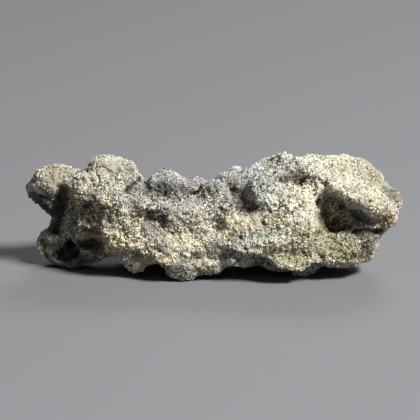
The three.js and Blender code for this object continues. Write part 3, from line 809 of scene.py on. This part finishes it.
# %% Finish the tint
BACK_WASHES = [
    # places along the wash, reach, colour, strength
    ([(-18.0, 2.5)], 5.0, "#dcd3b8", 0.8),
    ([(-12.0, -3.0)], 3.0, "#bda884", 0.8),
    ([(-5.0, 1.0)], 3.0, "#b7b8bb", 0.8),
    ([(1.5, -1.5)], 3.5, "#dfd2ac", 0.8),
    ([(9.0, 1.5)], 3.0, "#a19e9b", 0.8),
    ([(14.5, -2.0)], 3.0, "#cfc4a4", 0.8),
    ([(19.0, 3.0)], 3.0, "#c8bd9c", 0.8),
    ([(-14.0, -2.4)], 1.3, "#6f5d48", 0.8),
    ([(13.0, -1.5)], 1.1, "#5f564b", 0.8),
    ([(-6.2, 3.8), (-4.6, 1.5), (-5.8, -1.5)], 0.6, "#6a625a", 0.8),
    ([(7.0, 3.6), (8.2, 0.6), (6.6, -2.8)], 0.6, "#6a625a", 0.8),
    ([(-20.5, 3.4), (-17.0, 1.2), (-13.5, 1.2), (-9.5, -1.4)], 0.6, "#756750", 0.7),
]
SHADE, SHADE_SHARE, SHADE_FROM = "#9b948c", 0.6, 0.2
HOLLOW_BROWN, HOLLOW_BROWN_SHARE, HOLLOW_BROWN_DEPTH = "#5b4b3d", 0.5, 0.55
WHITE, WHITE_SHARE, WHITE_HEIGHT = "#f4f0e2", 0.35, 0.35
tint = lay(tint, points, skin, "back", BACK_WASHES)
facing_down = -numbers(body.data.vertex_normals, "vector", 3)[:, 2]
# painted shade: what faces down is mixed towards grey
tint = mix(tint, SHADE, SHADE_SHARE * np.clip(facing_down - SHADE_FROM, 0, 1))
# the hollows are mixed towards brown with their depth
tint = mix(tint, HOLLOW_BROWN, HOLLOW_BROWN_SHARE * np.clip(sunk / HOLLOW_BROWN_DEPTH, 0, 1))
tint = mix(tint, WHITE, WHITE_SHARE * np.clip(-sunk / WHITE_HEIGHT, 0, 1))
paint = body.data.attributes.new("tint", "FLOAT_COLOR", "POINT")
paint.data.foreach_set("color", tint.astype(np.float32).ravel())
print("mean tint:", tint.mean(0).round(2))

# %% [markdown]
# ## Where the grains lie
# The crust is a closed carpet of grains, but the gas pits and the glass-lined bore at the left end are
# nearly bare. That is one number per point, the cover. A second number, the grade, makes the grains
# coarser in some patches than in others, as in natural sand. A third, the glaze, is how much bare glass
# the bore shows, and the finish of the body uses it.

# %% Set cover, grade and glaze
PIT_BARENESS = 1.3
BORE_AT, BORE_REACH, BORE_COVER = (-20.1, -4.6), 1.9, 0.15
GRADE_SIZE, GRADE_SPREAD = 4, 0.5
FINEST, COARSEST = 0.75, 1.4


def store(name, values):
    """Keeps one number per point on the body, for the node trees to read."""
    kept = body.data.attributes.new(name, "FLOAT", "POINT")
    kept.data.foreach_set("value", values.astype(np.float32))
    print(name, values.min().round(2), "to", values.max().round(2))


bore = brush_share(points, skin, "front", [BORE_AT], BORE_REACH)
store("cover", np.clip(1 - PIT_BARENESS * pitted, 0, 1) * np.clip(1 + BORE_COVER - bore, 0, 1))
store("grade", np.clip(1 + GRADE_SPREAD * swell(points, GRADE_SIZE, start=81), FINEST, COARSEST))
store("glaze", bore)

# %% [markdown]
# ## Dirty grains and painted shade
# Clay and iron coat some grains and leave their neighbours clean. In a hollow more than half are coated,
# and the clean ones between them still shine, which looks quite unlike an even grey. So dirt is a share
# of grains and not a colour: some everywhere, more with depth, and more or less again where marks say so.
# The marks also paint shade and light this way: more dark grains in the clefts, creases, grooves, hollows
# and undersides and on the shaded wall of the left end, as painted shade, and fewer on the lit tops, as
# painted light.

# %% Set the share of dirty grains and of painted shade
SOILED_AND_SHADED = [
    # places, reach, how much more of the grains are darkened, as dirt and as painted shade, or less where
    # negative
    # left end
    ([(-17.2, 0.0)], 3.4, 0.3),
    ([(-23.3, 1.9), (-22.2, 1.1), (-21.1, 0.7)], 1.4, 0.7),
    ([(-19.0, -3.7), (-15.1, -4.0)], 1.3, 0.4),
    ([(-14.4, 1.5), (-14.0, -0.3)], 1.4, 0.4),
    ([(-20.4, -6.1), (-17.0, -5.4)], 1.4, 0.45),
    ([(-15.1, -5.4)], 1.5, 0.4),
    ([(-12.4, -2.9)], 2.0, 0.25),
    ([(-9.5, 2.8)], 1.5, 0.55),
    ([(-8.2, 2.3), (-3.8, 2.4)], 1.0, 0.3),
    ([(-11.6, 4.8)], 1.4, 0.15),
    # middle
    ([(-10.7, 4.1)], 1.3, 0.35),
    ([(-5.8, 2.9), (-3.9, 3.2), (-1.4, 3.7)], 1.3, 0.5),
    ([(-9.1, 0.3), (-7.1, -0.1)], 1.6, 0.4),
    ([(2.3, 3.7), (3.4, 2.1), (4.3, 0.5)], 1.4, 0.5),
    ([(0.6, -1.9), (1.1, 0.5)], 0.8, 0.25),
    ([(0.5, -4.2), (3.5, -5.3), (5.6, -6.1)], 1.6, 0.2),
    # right end
    ([(9.3, 4.8), (12.8, 5.0), (14.7, 4.2)], 1.1, 0.4),
    ([(9.5, 7.2)], 1.6, 0.3),
    ([(8.0, -4.1), (11.5, -3.4)], 1.0, 0.35),
    ([(15.4, 0.5), (19.4, -0.1)], 2.2, 0.25),
    ([(17.4, -4.2)], 4.0, 0.2),
    ([(20.8, -4.1)], 2.6, 0.4),
    ([(22.7, -0.8)], 1.6, 0.35),
    # clean places, on the lit tops: painted light
    ([(-7.4, 4.1)], 1.2, -0.2),
    ([(-15.2, 5.0)], 1.5, -0.2),
    ([(7.2, 1.6)], 1.4, -0.2),
    ([(14.5, 3.7), (16.2, 3.0)], 1.2, -0.3),
    ([(-1.4, 1.5), (-0.6, -0.7)], 1.3, -0.2),
    ([(1.9, -1.3)], 1.6, -0.3),
    ([(-23.4, 3.8)], 1.4, -0.3),
    ([(-16.1, 6.1)], 1.5, -0.3),
    ([(-13.7, 6.1)], 4.0, -0.12),
    ([(17.8, 6.8)], 6.0, -0.12),
    ([(12.0, 1.3)], 3.2, -0.3),
    ([(-6.4, 1.1), (-3.8, -2.7), (-1.8, -4.2)], 2.0, -0.1),
]
SOIL_EVERYWHERE, SOIL_IN_HOLLOWS, SOIL_DEPTH = 0.1, 0.5, 0.5
MOST_SOIL = 0.85
soil = SOIL_EVERYWHERE + SOIL_IN_HOLLOWS * np.clip(sunk / SOIL_DEPTH, 0, 1)
# the marks add dark grains as painted shade, and take them off lit tops as painted light
for places, reach, share in SOILED_AND_SHADED:
    soil += share * wash_share(points, skin, "front", places, reach)
store("soil", np.clip(soil, 0, MOST_SOIL))

# %% [markdown]
# ## The grains
# Dune sand is angular to half rounded, 0.15 to 0.4 mm across. Each shape starts as a cube whose corners
# are pushed about, and the convex hull of those eight corners is a stone of twelve flat facets: few
# enough to repeat tens of thousands of times, and flat, so that it glints as a broken quartz grain does.
# Round grains would cost more facets and glint less. A stone is about one unit long, and is scaled to its
# size later.

# %% Shape a few grains
GRAIN_SHAPES = 10
CUBE_SIDE, CORNER_SHIFT = 0.72, 0.20
BREADTH, THICKNESS = (0.75, 1), (0.6, 0.9)
grain_shapes = bpy.data.collections.new("grain_shapes")
for k in range(GRAIN_SHAPES):
    stone = bmesh.new()
    bmesh.ops.create_cube(stone, size=CUBE_SIDE)
    for corner in stone.verts:
        shift = Vector(rng.uniform(-CORNER_SHIFT, CORNER_SHIFT, 3))
        bmesh.ops.translate(stone, vec=shift, verts=[corner])
    squash = Vector((1, rng.uniform(*BREADTH), rng.uniform(*THICKNESS)))
    bmesh.ops.scale(stone, vec=squash, verts=stone.verts)
    bmesh.ops.delete(stone, geom=stone.faces, context="FACES_ONLY")
    bmesh.ops.convex_hull(stone, input=stone.verts)
    bmesh.ops.triangulate(stone, faces=stone.faces)
    bmesh.ops.recalc_face_normals(stone, faces=stone.faces)
    mesh = bpy.data.meshes.new(f"grain_{k}")
    stone.to_mesh(mesh)
    stone.free()
    grain_shapes.objects.link(bpy.data.objects.new(mesh.name, mesh))

# %% [markdown]
# ## Choosing a stretch of the tube
# Geometry Nodes strews the grains. All of them in one mesh would be too heavy to pass around, so the tree
# gets two inputs, From and To, and works only between them. It can then serve each piece of the crust.
# One function adds every node, with its settings and what feeds it.

# %% Start the tree that strews grains
def add(tree, kind, inputs=(), **settings):
    """Adds a node to a tree. inputs holds values for its sockets, or the sockets that feed them."""
    node = tree.nodes.new(kind)
    for name, value in settings.items():
        setattr(node, name, value)
    for socket, value in dict(inputs).items():
        if isinstance(value, bpy.types.NodeSocket):
            tree.links.new(value, node.inputs[socket])
        else:
            node.inputs[socket].default_value = value
    return node


strew = bpy.data.node_groups.new("strew", "GeometryNodeTree")
strew.interface.new_socket("Body", in_out="INPUT", socket_type="NodeSocketGeometry")
from_socket = strew.interface.new_socket("From", in_out="INPUT", socket_type="NodeSocketFloat")
to_socket = strew.interface.new_socket("To", in_out="INPUT", socket_type="NodeSocketFloat")
strew.interface.new_socket("Grains", in_out="OUTPUT", socket_type="NodeSocketGeometry")
given = add(strew, "NodeGroupInput")
position = add(strew, "GeometryNodeInputPosition")
place = add(strew, "ShaderNodeSeparateXYZ", {0: position.outputs[0]})
after = add(strew, "FunctionNodeCompare", {0: place.outputs[0], 1: given.outputs["From"]},
            operation="GREATER_EQUAL")
before = add(strew, "FunctionNodeCompare", {0: place.outputs[0], 1: given.outputs["To"]},
             operation="LESS_THAN")
here = add(strew, "FunctionNodeBooleanMath", {0: after.outputs[0], 1: before.outputs[0]}, operation="AND")
print(len(strew.nodes), "nodes")

# %% [markdown]
# ## Strewing the grains
# A random scatter would heap the grains up in some places. Poisson distribution tries many points and
# drops those that crowd a neighbour, so that the rest form a carpet with a set gap. Each grain then gets
# its facts as attributes: its number, a chance from 0 to 1 that later decides what kind of grain it is,
# and whether it wears a coat, which is dirt and, where the marks put shade, painted shade. The tint of the
# spot it stands on comes along by itself.

# %% Strew points and give them their facts
GRAIN_GAP = 0.165
GRAINS_TRIED = 80
cover_here = add(strew, "GeometryNodeInputNamedAttribute", {0: "cover"}, data_type="FLOAT")
strewn = add(strew, "GeometryNodeDistributePointsOnFaces", {
    "Mesh": given.outputs["Body"], "Selection": here.outputs[0], "Distance Min": GRAIN_GAP * MM,
    "Density Max": GRAINS_TRIED / MM**2, "Density Factor": cover_here.outputs[0], "Seed": 3},
    distribute_method="POISSON")
number = add(strew, "GeometryNodeInputIndex")
chance = add(strew, "FunctionNodeRandomValue", {2: 0.0, 3: 1.0, "Seed": 5})
luck = add(strew, "FunctionNodeRandomValue", {2: 0.0, 3: 1.0, "Seed": 11})
soil_and_shade_here = add(strew, "GeometryNodeInputNamedAttribute", {0: "soil"}, data_type="FLOAT")
coated_and_shaded = add(strew, "FunctionNodeCompare", {0: luck.outputs[1], 1: soil_and_shade_here.outputs[0]},
             operation="LESS_THAN")
facts = strewn.outputs["Points"]
for name, value, kind in (("grain", number.outputs[0], "INT"), ("chance", chance.outputs[1], "FLOAT"),
                          ("coat", coated_and_shaded.outputs[0], "FLOAT")):
    facts = add(strew, "GeometryNodeStoreNamedAttribute", {"Geometry": facts, "Name": name, "Value": value},
                data_type=kind).outputs[0]
print(len(strew.nodes), "nodes")

# %% [markdown]
# ## Turning, sizing and laying the grains
# Each grain is turned at random about the skin's normal and leans a little, so that its facets flash one
# by one. Small grains are more common than big ones: raising the random draw to a power gives that.
# Realize Instances turns the grains into plain mesh at the end, because instances don't survive an
# export.

# %% Lay a stone on each point
LEAN = 0.7
GRAIN_SIZE = (0.17, 0.34)
SMALL_GRAINS = 1.6
lean = add(strew, "FunctionNodeRandomValue", {
    0: (-LEAN, -LEAN, 0), 1: (LEAN, LEAN, math.tau), "Seed": 7}, data_type="FLOAT_VECTOR")
turn = add(strew, "FunctionNodeRotateRotation", {
    0: strewn.outputs["Rotation"], 1: lean.outputs[0]}, rotation_space="LOCAL")
draw = add(strew, "FunctionNodeRandomValue", {2: 0.0, 3: 1.0, "Seed": 9})
skewed = add(strew, "ShaderNodeMath", {0: draw.outputs[1], 1: SMALL_GRAINS}, operation="POWER")
span = add(strew, "ShaderNodeMapRange", {0: skewed.outputs[0], 3: GRAIN_SIZE[0] * MM, 4: GRAIN_SIZE[1] * MM})
grade_here = add(strew, "GeometryNodeInputNamedAttribute", {0: "grade"}, data_type="FLOAT")
size = add(strew, "ShaderNodeMath", {0: span.outputs[0], 1: grade_here.outputs[0]}, operation="MULTIPLY")
picked = add(strew, "GeometryNodeCollectionInfo", {0: grain_shapes, "Separate Children": True})
laid = add(strew, "GeometryNodeInstanceOnPoints", {
    "Points": facts, "Instance": picked.outputs[0], "Pick Instance": True,
    "Rotation": turn.outputs[0], "Scale": size.outputs[0]})
plain = add(strew, "GeometryNodeRealizeInstances", {0: laid.outputs[0]})
add(strew, "NodeGroupOutput", {0: plain.outputs[0]})
print(len(strew.nodes), "nodes")

# %% [markdown]
# ## Four pieces of crust
# The crust is made as four pieces along the tube. Each is a copy of the body with the tree as its
# modifier and its own From and To. The tree puts out the grains alone, so no second body is left under
# them.

# %% Strew the four pieces
CRUSTS = {"crust_left": (-30, -10.5), "crust_mid_left": (-10.5, 1.6),
          "crust_mid_right": (1.6, 13.2), "crust_right": (13.2, 30)}
crusts = []
for name, (start, end) in CRUSTS.items():
    piece = shown(name, body.data.copy())
    grains = piece.modifiers.new("grains", "NODES")
    grains.node_group = strew
    grains[from_socket.identifier] = start * MM
    grains[to_socket.identifier] = end * MM
    settle(piece)
    piece.data.shade_flat()
    crusts.append(piece)
    print(name, len(piece.data.polygons), "facets")
for grain in list(grain_shapes.objects):
    bpy.data.objects.remove(grain)
bpy.data.collections.remove(grain_shapes)

# %% [markdown]
# ## Fitting the crust to the tube's size
# The crust may not make the tube bigger. Grains that reach below the surface it rests on are worn flat
# there, as they are on the real thing, and then all five pieces are stretched together by the small
# fraction that brings their common box onto the solid's. Their points are moved and not the objects,
# which stay unscaled as the frame asks.

# %% Wear the underside flat and fit the box
pieces = [body, *crusts]
for piece in pieces:
    points = points_of(piece)
    points[:, 2] = np.maximum(points[:, 2], 0)
    put_back(piece, points)
low = np.min([points_of(piece).min(0) for piece in pieces], 0)
high = np.max([points_of(piece).max(0) for piece in pieces], 0)
cad_low, cad_high = (np.array(corner) / MM for corner in cad_box)
stretch = (cad_high - cad_low) / (high - low)
for piece in pieces:
    put_back(piece, cad_low + (points_of(piece) - low) * stretch)
print("stretched by", stretch.round(4))

# %% [markdown]
# ## A map for the grains
# Each grain has one colour all over, so its place on a texture can be one small square. The map gives
# every grain a square of its own, in rows, with the grain's outline laid in the middle of it. A bake of
# the colours into a picture can use it as it is, while an automatic unwrap would cut half a million
# facets apart.

# %% Lay out the map
OUTLINE_REACH = 0.3


def map_grains(piece):
    """Gives each grain its own square of the piece's map."""
    mesh = piece.data
    owner = np.empty(len(mesh.vertices), np.int32)
    mesh.attributes["grain"].data.foreach_get("value", owner)
    owner = np.unique(owner, return_inverse=True)[1]
    points = numbers(mesh.vertices, "co", 3)
    count = np.bincount(owner)
    middle = np.stack([np.bincount(owner, axis) / count for axis in points.T], 1)
    local = points - middle[owner]
    reach = np.zeros(len(count))
    np.maximum.at(reach, owner, np.abs(local).max(1))
    local /= reach[owner][:, None]
    across = math.ceil(math.sqrt(len(count)))
    cell = np.stack([owner % across, owner // across], 1)
    place = (cell + 0.5 + OUTLINE_REACH * local[:, :2]) / across
    corners = np.empty(len(mesh.loops), np.int32)
    mesh.loops.foreach_get("vertex_index", corners)
    layer = mesh.uv_layers.new(name="OFBake")
    layer.uv.foreach_set("vector", place[corners].astype(np.float32).ravel())
    print(piece.name, len(count), "grains in", across, "columns")


for piece in crusts:
    map_grains(piece)

# %% [markdown]
# ## Kinds of grain
# The crust's stone is frosted quartz: colourless to cream, index of refraction 1.54, dulled by wind wear,
# with fresh facets that flash. Not all grains are alike, and the chance kept on each decides its kind:
# many are frosted white, some milky or cream, some clear, which look greyer and shine more, and a few are
# dark heavy minerals. A Color Ramp with flat steps turns the chance into a colour, and a second one into
# a roughness.

# %% Sort the grains by chance
KINDS = (
    # from this chance on, colour, roughness
    (0.00, "#fbfff7", 0.50),
    (0.35, "#f2f1ea", 0.40),
    (0.58, "#dfe0d1", 0.50),
    (0.72, "#cccacd", 0.30),
    (0.84, "#aaa4a6", 0.25),
    (0.93, "#968f8b", 0.35),
    (0.98, "#63605c", 0.30),
)


def new_material(name):
    """A material with a node tree, and its Principled shader."""
    made = bpy.data.materials.new(name)
    made.use_nodes = True
    return made, made.node_tree, made.node_tree.nodes["Principled BSDF"]


frosted, tree, shader = new_material("frosted_quartz_grains")
chance = add(tree, "ShaderNodeAttribute", attribute_name="chance")
ramps = []
for levels in ([linear(code) for _, code, _ in KINDS], [(dull, dull, dull, 1) for _, _, dull in KINDS]):
    ramp = add(tree, "ShaderNodeValToRGB", {0: chance.outputs["Fac"]})
    ramp.color_ramp.interpolation = "CONSTANT"
    while len(ramp.color_ramp.elements) < len(KINDS):
        ramp.color_ramp.elements.new(1)
    for step, (start, _, _), level in zip(ramp.color_ramp.elements, KINDS, levels):
        step.position, step.color = start, level
    ramps.append(ramp)
print(len(KINDS), "kinds of grain")

# %% [markdown]
# ## Finish of the grains
# A grain shows the tint of its spot, filtered by its own colour. Multiplying the two does that, as
# stained glass over paint. Those that wear a coat are multiplied by its brown as well: a coat of dirt,
# and where the marks put shade, painted shade.

# %% Make the grain finish
COAT_AND_SHADE = "#8c8272"
QUARTZ_INDEX = 1.54
kind_colour, kind_roughness = ramps
tint_here = add(tree, "ShaderNodeAttribute", attribute_name="tint")
clean = add(tree, "ShaderNodeMix", {0: 1.0, 6: tint_here.outputs["Color"], 7: kind_colour.outputs[0]},
            data_type="RGBA", blend_type="MULTIPLY")
coat = add(tree, "ShaderNodeAttribute", attribute_name="coat")
coated_and_shaded = add(tree, "ShaderNodeMix", {0: coat.outputs["Fac"], 6: clean.outputs[2], 7: linear(COAT_AND_SHADE)},
             data_type="RGBA", blend_type="MULTIPLY")
tree.links.new(coated_and_shaded.outputs[2], shader.inputs["Base Color"])
tree.links.new(kind_roughness.outputs[0], shader.inputs["Roughness"])
shader.inputs["IOR"].default_value = QUARTZ_INDEX
for piece in crusts:
    piece.data.materials.clear()
    piece.data.materials.append(frosted)
print(frosted.name, "on", len(crusts), "pieces")

# %% [markdown]
# ## Finish of the body
# Between the grains shows the melt that holds them: silica glass, index 1.46, grey and full of fine sand,
# and darker than the grains because light sinks into it. In the bore it is a smooth dark glaze. A Voronoi
# texture on Object coordinates, with cells as wide as the finest grains, breaks up its colour and its
# surface.

# %% Make the melt finish
FINE_SAND = 0.12
DARKEST_SAND, PALEST_SAND = 0.42, 0.74
GLAZE = "#332f2b"
MELT_ROUGHNESS, GLAZE_ROUGHNESS = 0.62, 0.22
GRIT_STRENGTH, GRIT_HEIGHT = 0.5, 0.05
GLASS_INDEX = 1.46
melt, tree, shader = new_material("sandy_silica_glass")
place = add(tree, "ShaderNodeTexCoord").outputs["Object"]
tint_here = add(tree, "ShaderNodeAttribute", attribute_name="tint")
glaze = add(tree, "ShaderNodeAttribute", attribute_name="glaze")
sand = add(tree, "ShaderNodeTexVoronoi", {"Vector": place, "Scale": 1 / (FINE_SAND * MM)})
darker = add(tree, "ShaderNodeMapRange", {0: sand.outputs["Color"], 3: DARKEST_SAND, 4: PALEST_SAND})
sunken = add(tree, "ShaderNodeMix", {0: 1.0, 6: tint_here.outputs["Color"], 7: darker.outputs[0]},
             data_type="RGBA", blend_type="MULTIPLY")
glazed = add(tree, "ShaderNodeMix", {0: glaze.outputs["Fac"], 6: sunken.outputs[2], 7: linear(GLAZE)},
             data_type="RGBA")
tree.links.new(glazed.outputs[2], shader.inputs["Base Color"])
rough = add(tree, "ShaderNodeMapRange", {
    0: glaze.outputs["Fac"], 3: MELT_ROUGHNESS, 4: GLAZE_ROUGHNESS})
tree.links.new(rough.outputs[0], shader.inputs["Roughness"])
grit = add(tree, "ShaderNodeBump", {
    "Height": sand.outputs["Distance"], "Strength": GRIT_STRENGTH, "Distance": GRIT_HEIGHT * MM})
tree.links.new(grit.outputs[0], shader.inputs["Normal"])
shader.inputs["IOR"].default_value = GLASS_INDEX
body.data.materials.clear()
body.data.materials.append(melt)
body.data.shade_smooth()
print(melt.name, "has", len(tree.nodes), "nodes")

# %% [markdown]
# ## Riding on the frame
# All five pieces belong to the one body of the frame.
# The body stands for the solid, which is then hidden.

# %% Tie the pieces to the frame
for piece in pieces:
    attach(piece, "root")
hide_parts("fulgurite")
print(len(pieces), "pieces ride on the frame")

# %% [markdown]
# ## Floor
# A flat floor against a wall would show a line behind the tube. A studio cove has none: its floor curves
# up into the wall. Spun round the middle, the same profile serves a camera on any side.

# %% Build the cove
FLOOR_REACH, BEND, WALL_TOP = 0.9, 0.5, 1.4
BEND_STEPS, TURN_STEPS = 12, 96
SEAM = 1e-5
PAPER, PAPER_ROUGHNESS = "#7c7c7f", 0.9
cove = bmesh.new()
profile = [(0, 0), (FLOOR_REACH, 0)]
for k in range(1, BEND_STEPS + 1):
    turn_up = math.radians(90 * k / BEND_STEPS)
    profile.append((FLOOR_REACH + BEND * math.sin(turn_up), BEND - BEND * math.cos(turn_up)))
profile.append((FLOOR_REACH + BEND, WALL_TOP))
line = [cove.verts.new((r, 0, z)) for r, z in profile]
line += [cove.edges.new(pair) for pair in zip(line, line[1:])]
bmesh.ops.spin(cove, geom=line, cent=(0, 0, 0), axis=(0, 0, 1), angle=math.tau,
               steps=TURN_STEPS, use_merge=True)
bmesh.ops.remove_doubles(cove, verts=cove.verts, dist=SEAM)
bmesh.ops.recalc_face_normals(cove, faces=cove.faces)
mesh = bpy.data.meshes.new("floor")
cove.to_mesh(mesh)
cove.free()
floor = shown("floor", mesh)
floor.data.shade_smooth()
paper, _, shader = new_material("pale_grey_paper")
shader.inputs["Base Color"].default_value = linear(PAPER)
shader.inputs["Roughness"].default_value = PAPER_ROUGHNESS
floor.data.materials.append(paper)
floor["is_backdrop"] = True
print("cove:", len(mesh.polygons), "faces")

# %% [markdown]
# ## Lights
# Relief shows in a light that grazes it, so one key light stands high to the right. A weaker one behind
# brightens the skyline. A dim sky and the floor's own bounce fill the shadows, so that no cleft is black.

# %% Light the cove
LAMPS = {
    # azimuth and elevation in degrees, distance and size in metres, power in watts
    "key": (50, 44, 0.8, 0.20, 11.3),
    "back": (165, 40, 0.8, 0.30, 2.0),
}
SKY, SKY_STRENGTH = "#8c8c90", 0.45
for name, (azimuth, elevation, far, across, power) in LAMPS.items():
    light = bpy.data.lights.new(name, "AREA")
    light.shape, light.size, light.energy = "DISK", across, power
    lamp = bpy.data.objects.new(name, light)
    bpy.context.scene.collection.objects.link(lamp)
    towards = sight(azimuth, elevation)[2]
    lamp.location = AXIS + far * towards
    lamp.rotation_euler = towards.to_track_quat("Z", "Y").to_euler()
world = bpy.data.worlds.new("sky")
bpy.context.scene.world = world
world.use_nodes = True
sky = world.node_tree.nodes["Background"]
sky.inputs["Color"].default_value = linear(SKY)
sky.inputs["Strength"].default_value = SKY_STRENGTH
bpy.context.scene.view_settings.view_transform = "Standard"
print(len(LAMPS), "lamps and a sky")

# %% Measure and finish
dressed_box = [list(corner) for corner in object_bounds()]
for name, box in (("solid", cad_box), ("dressed", dressed_box)):
    print(name, "box, mm:", (np.array(box) / MM).round(3).tolist())
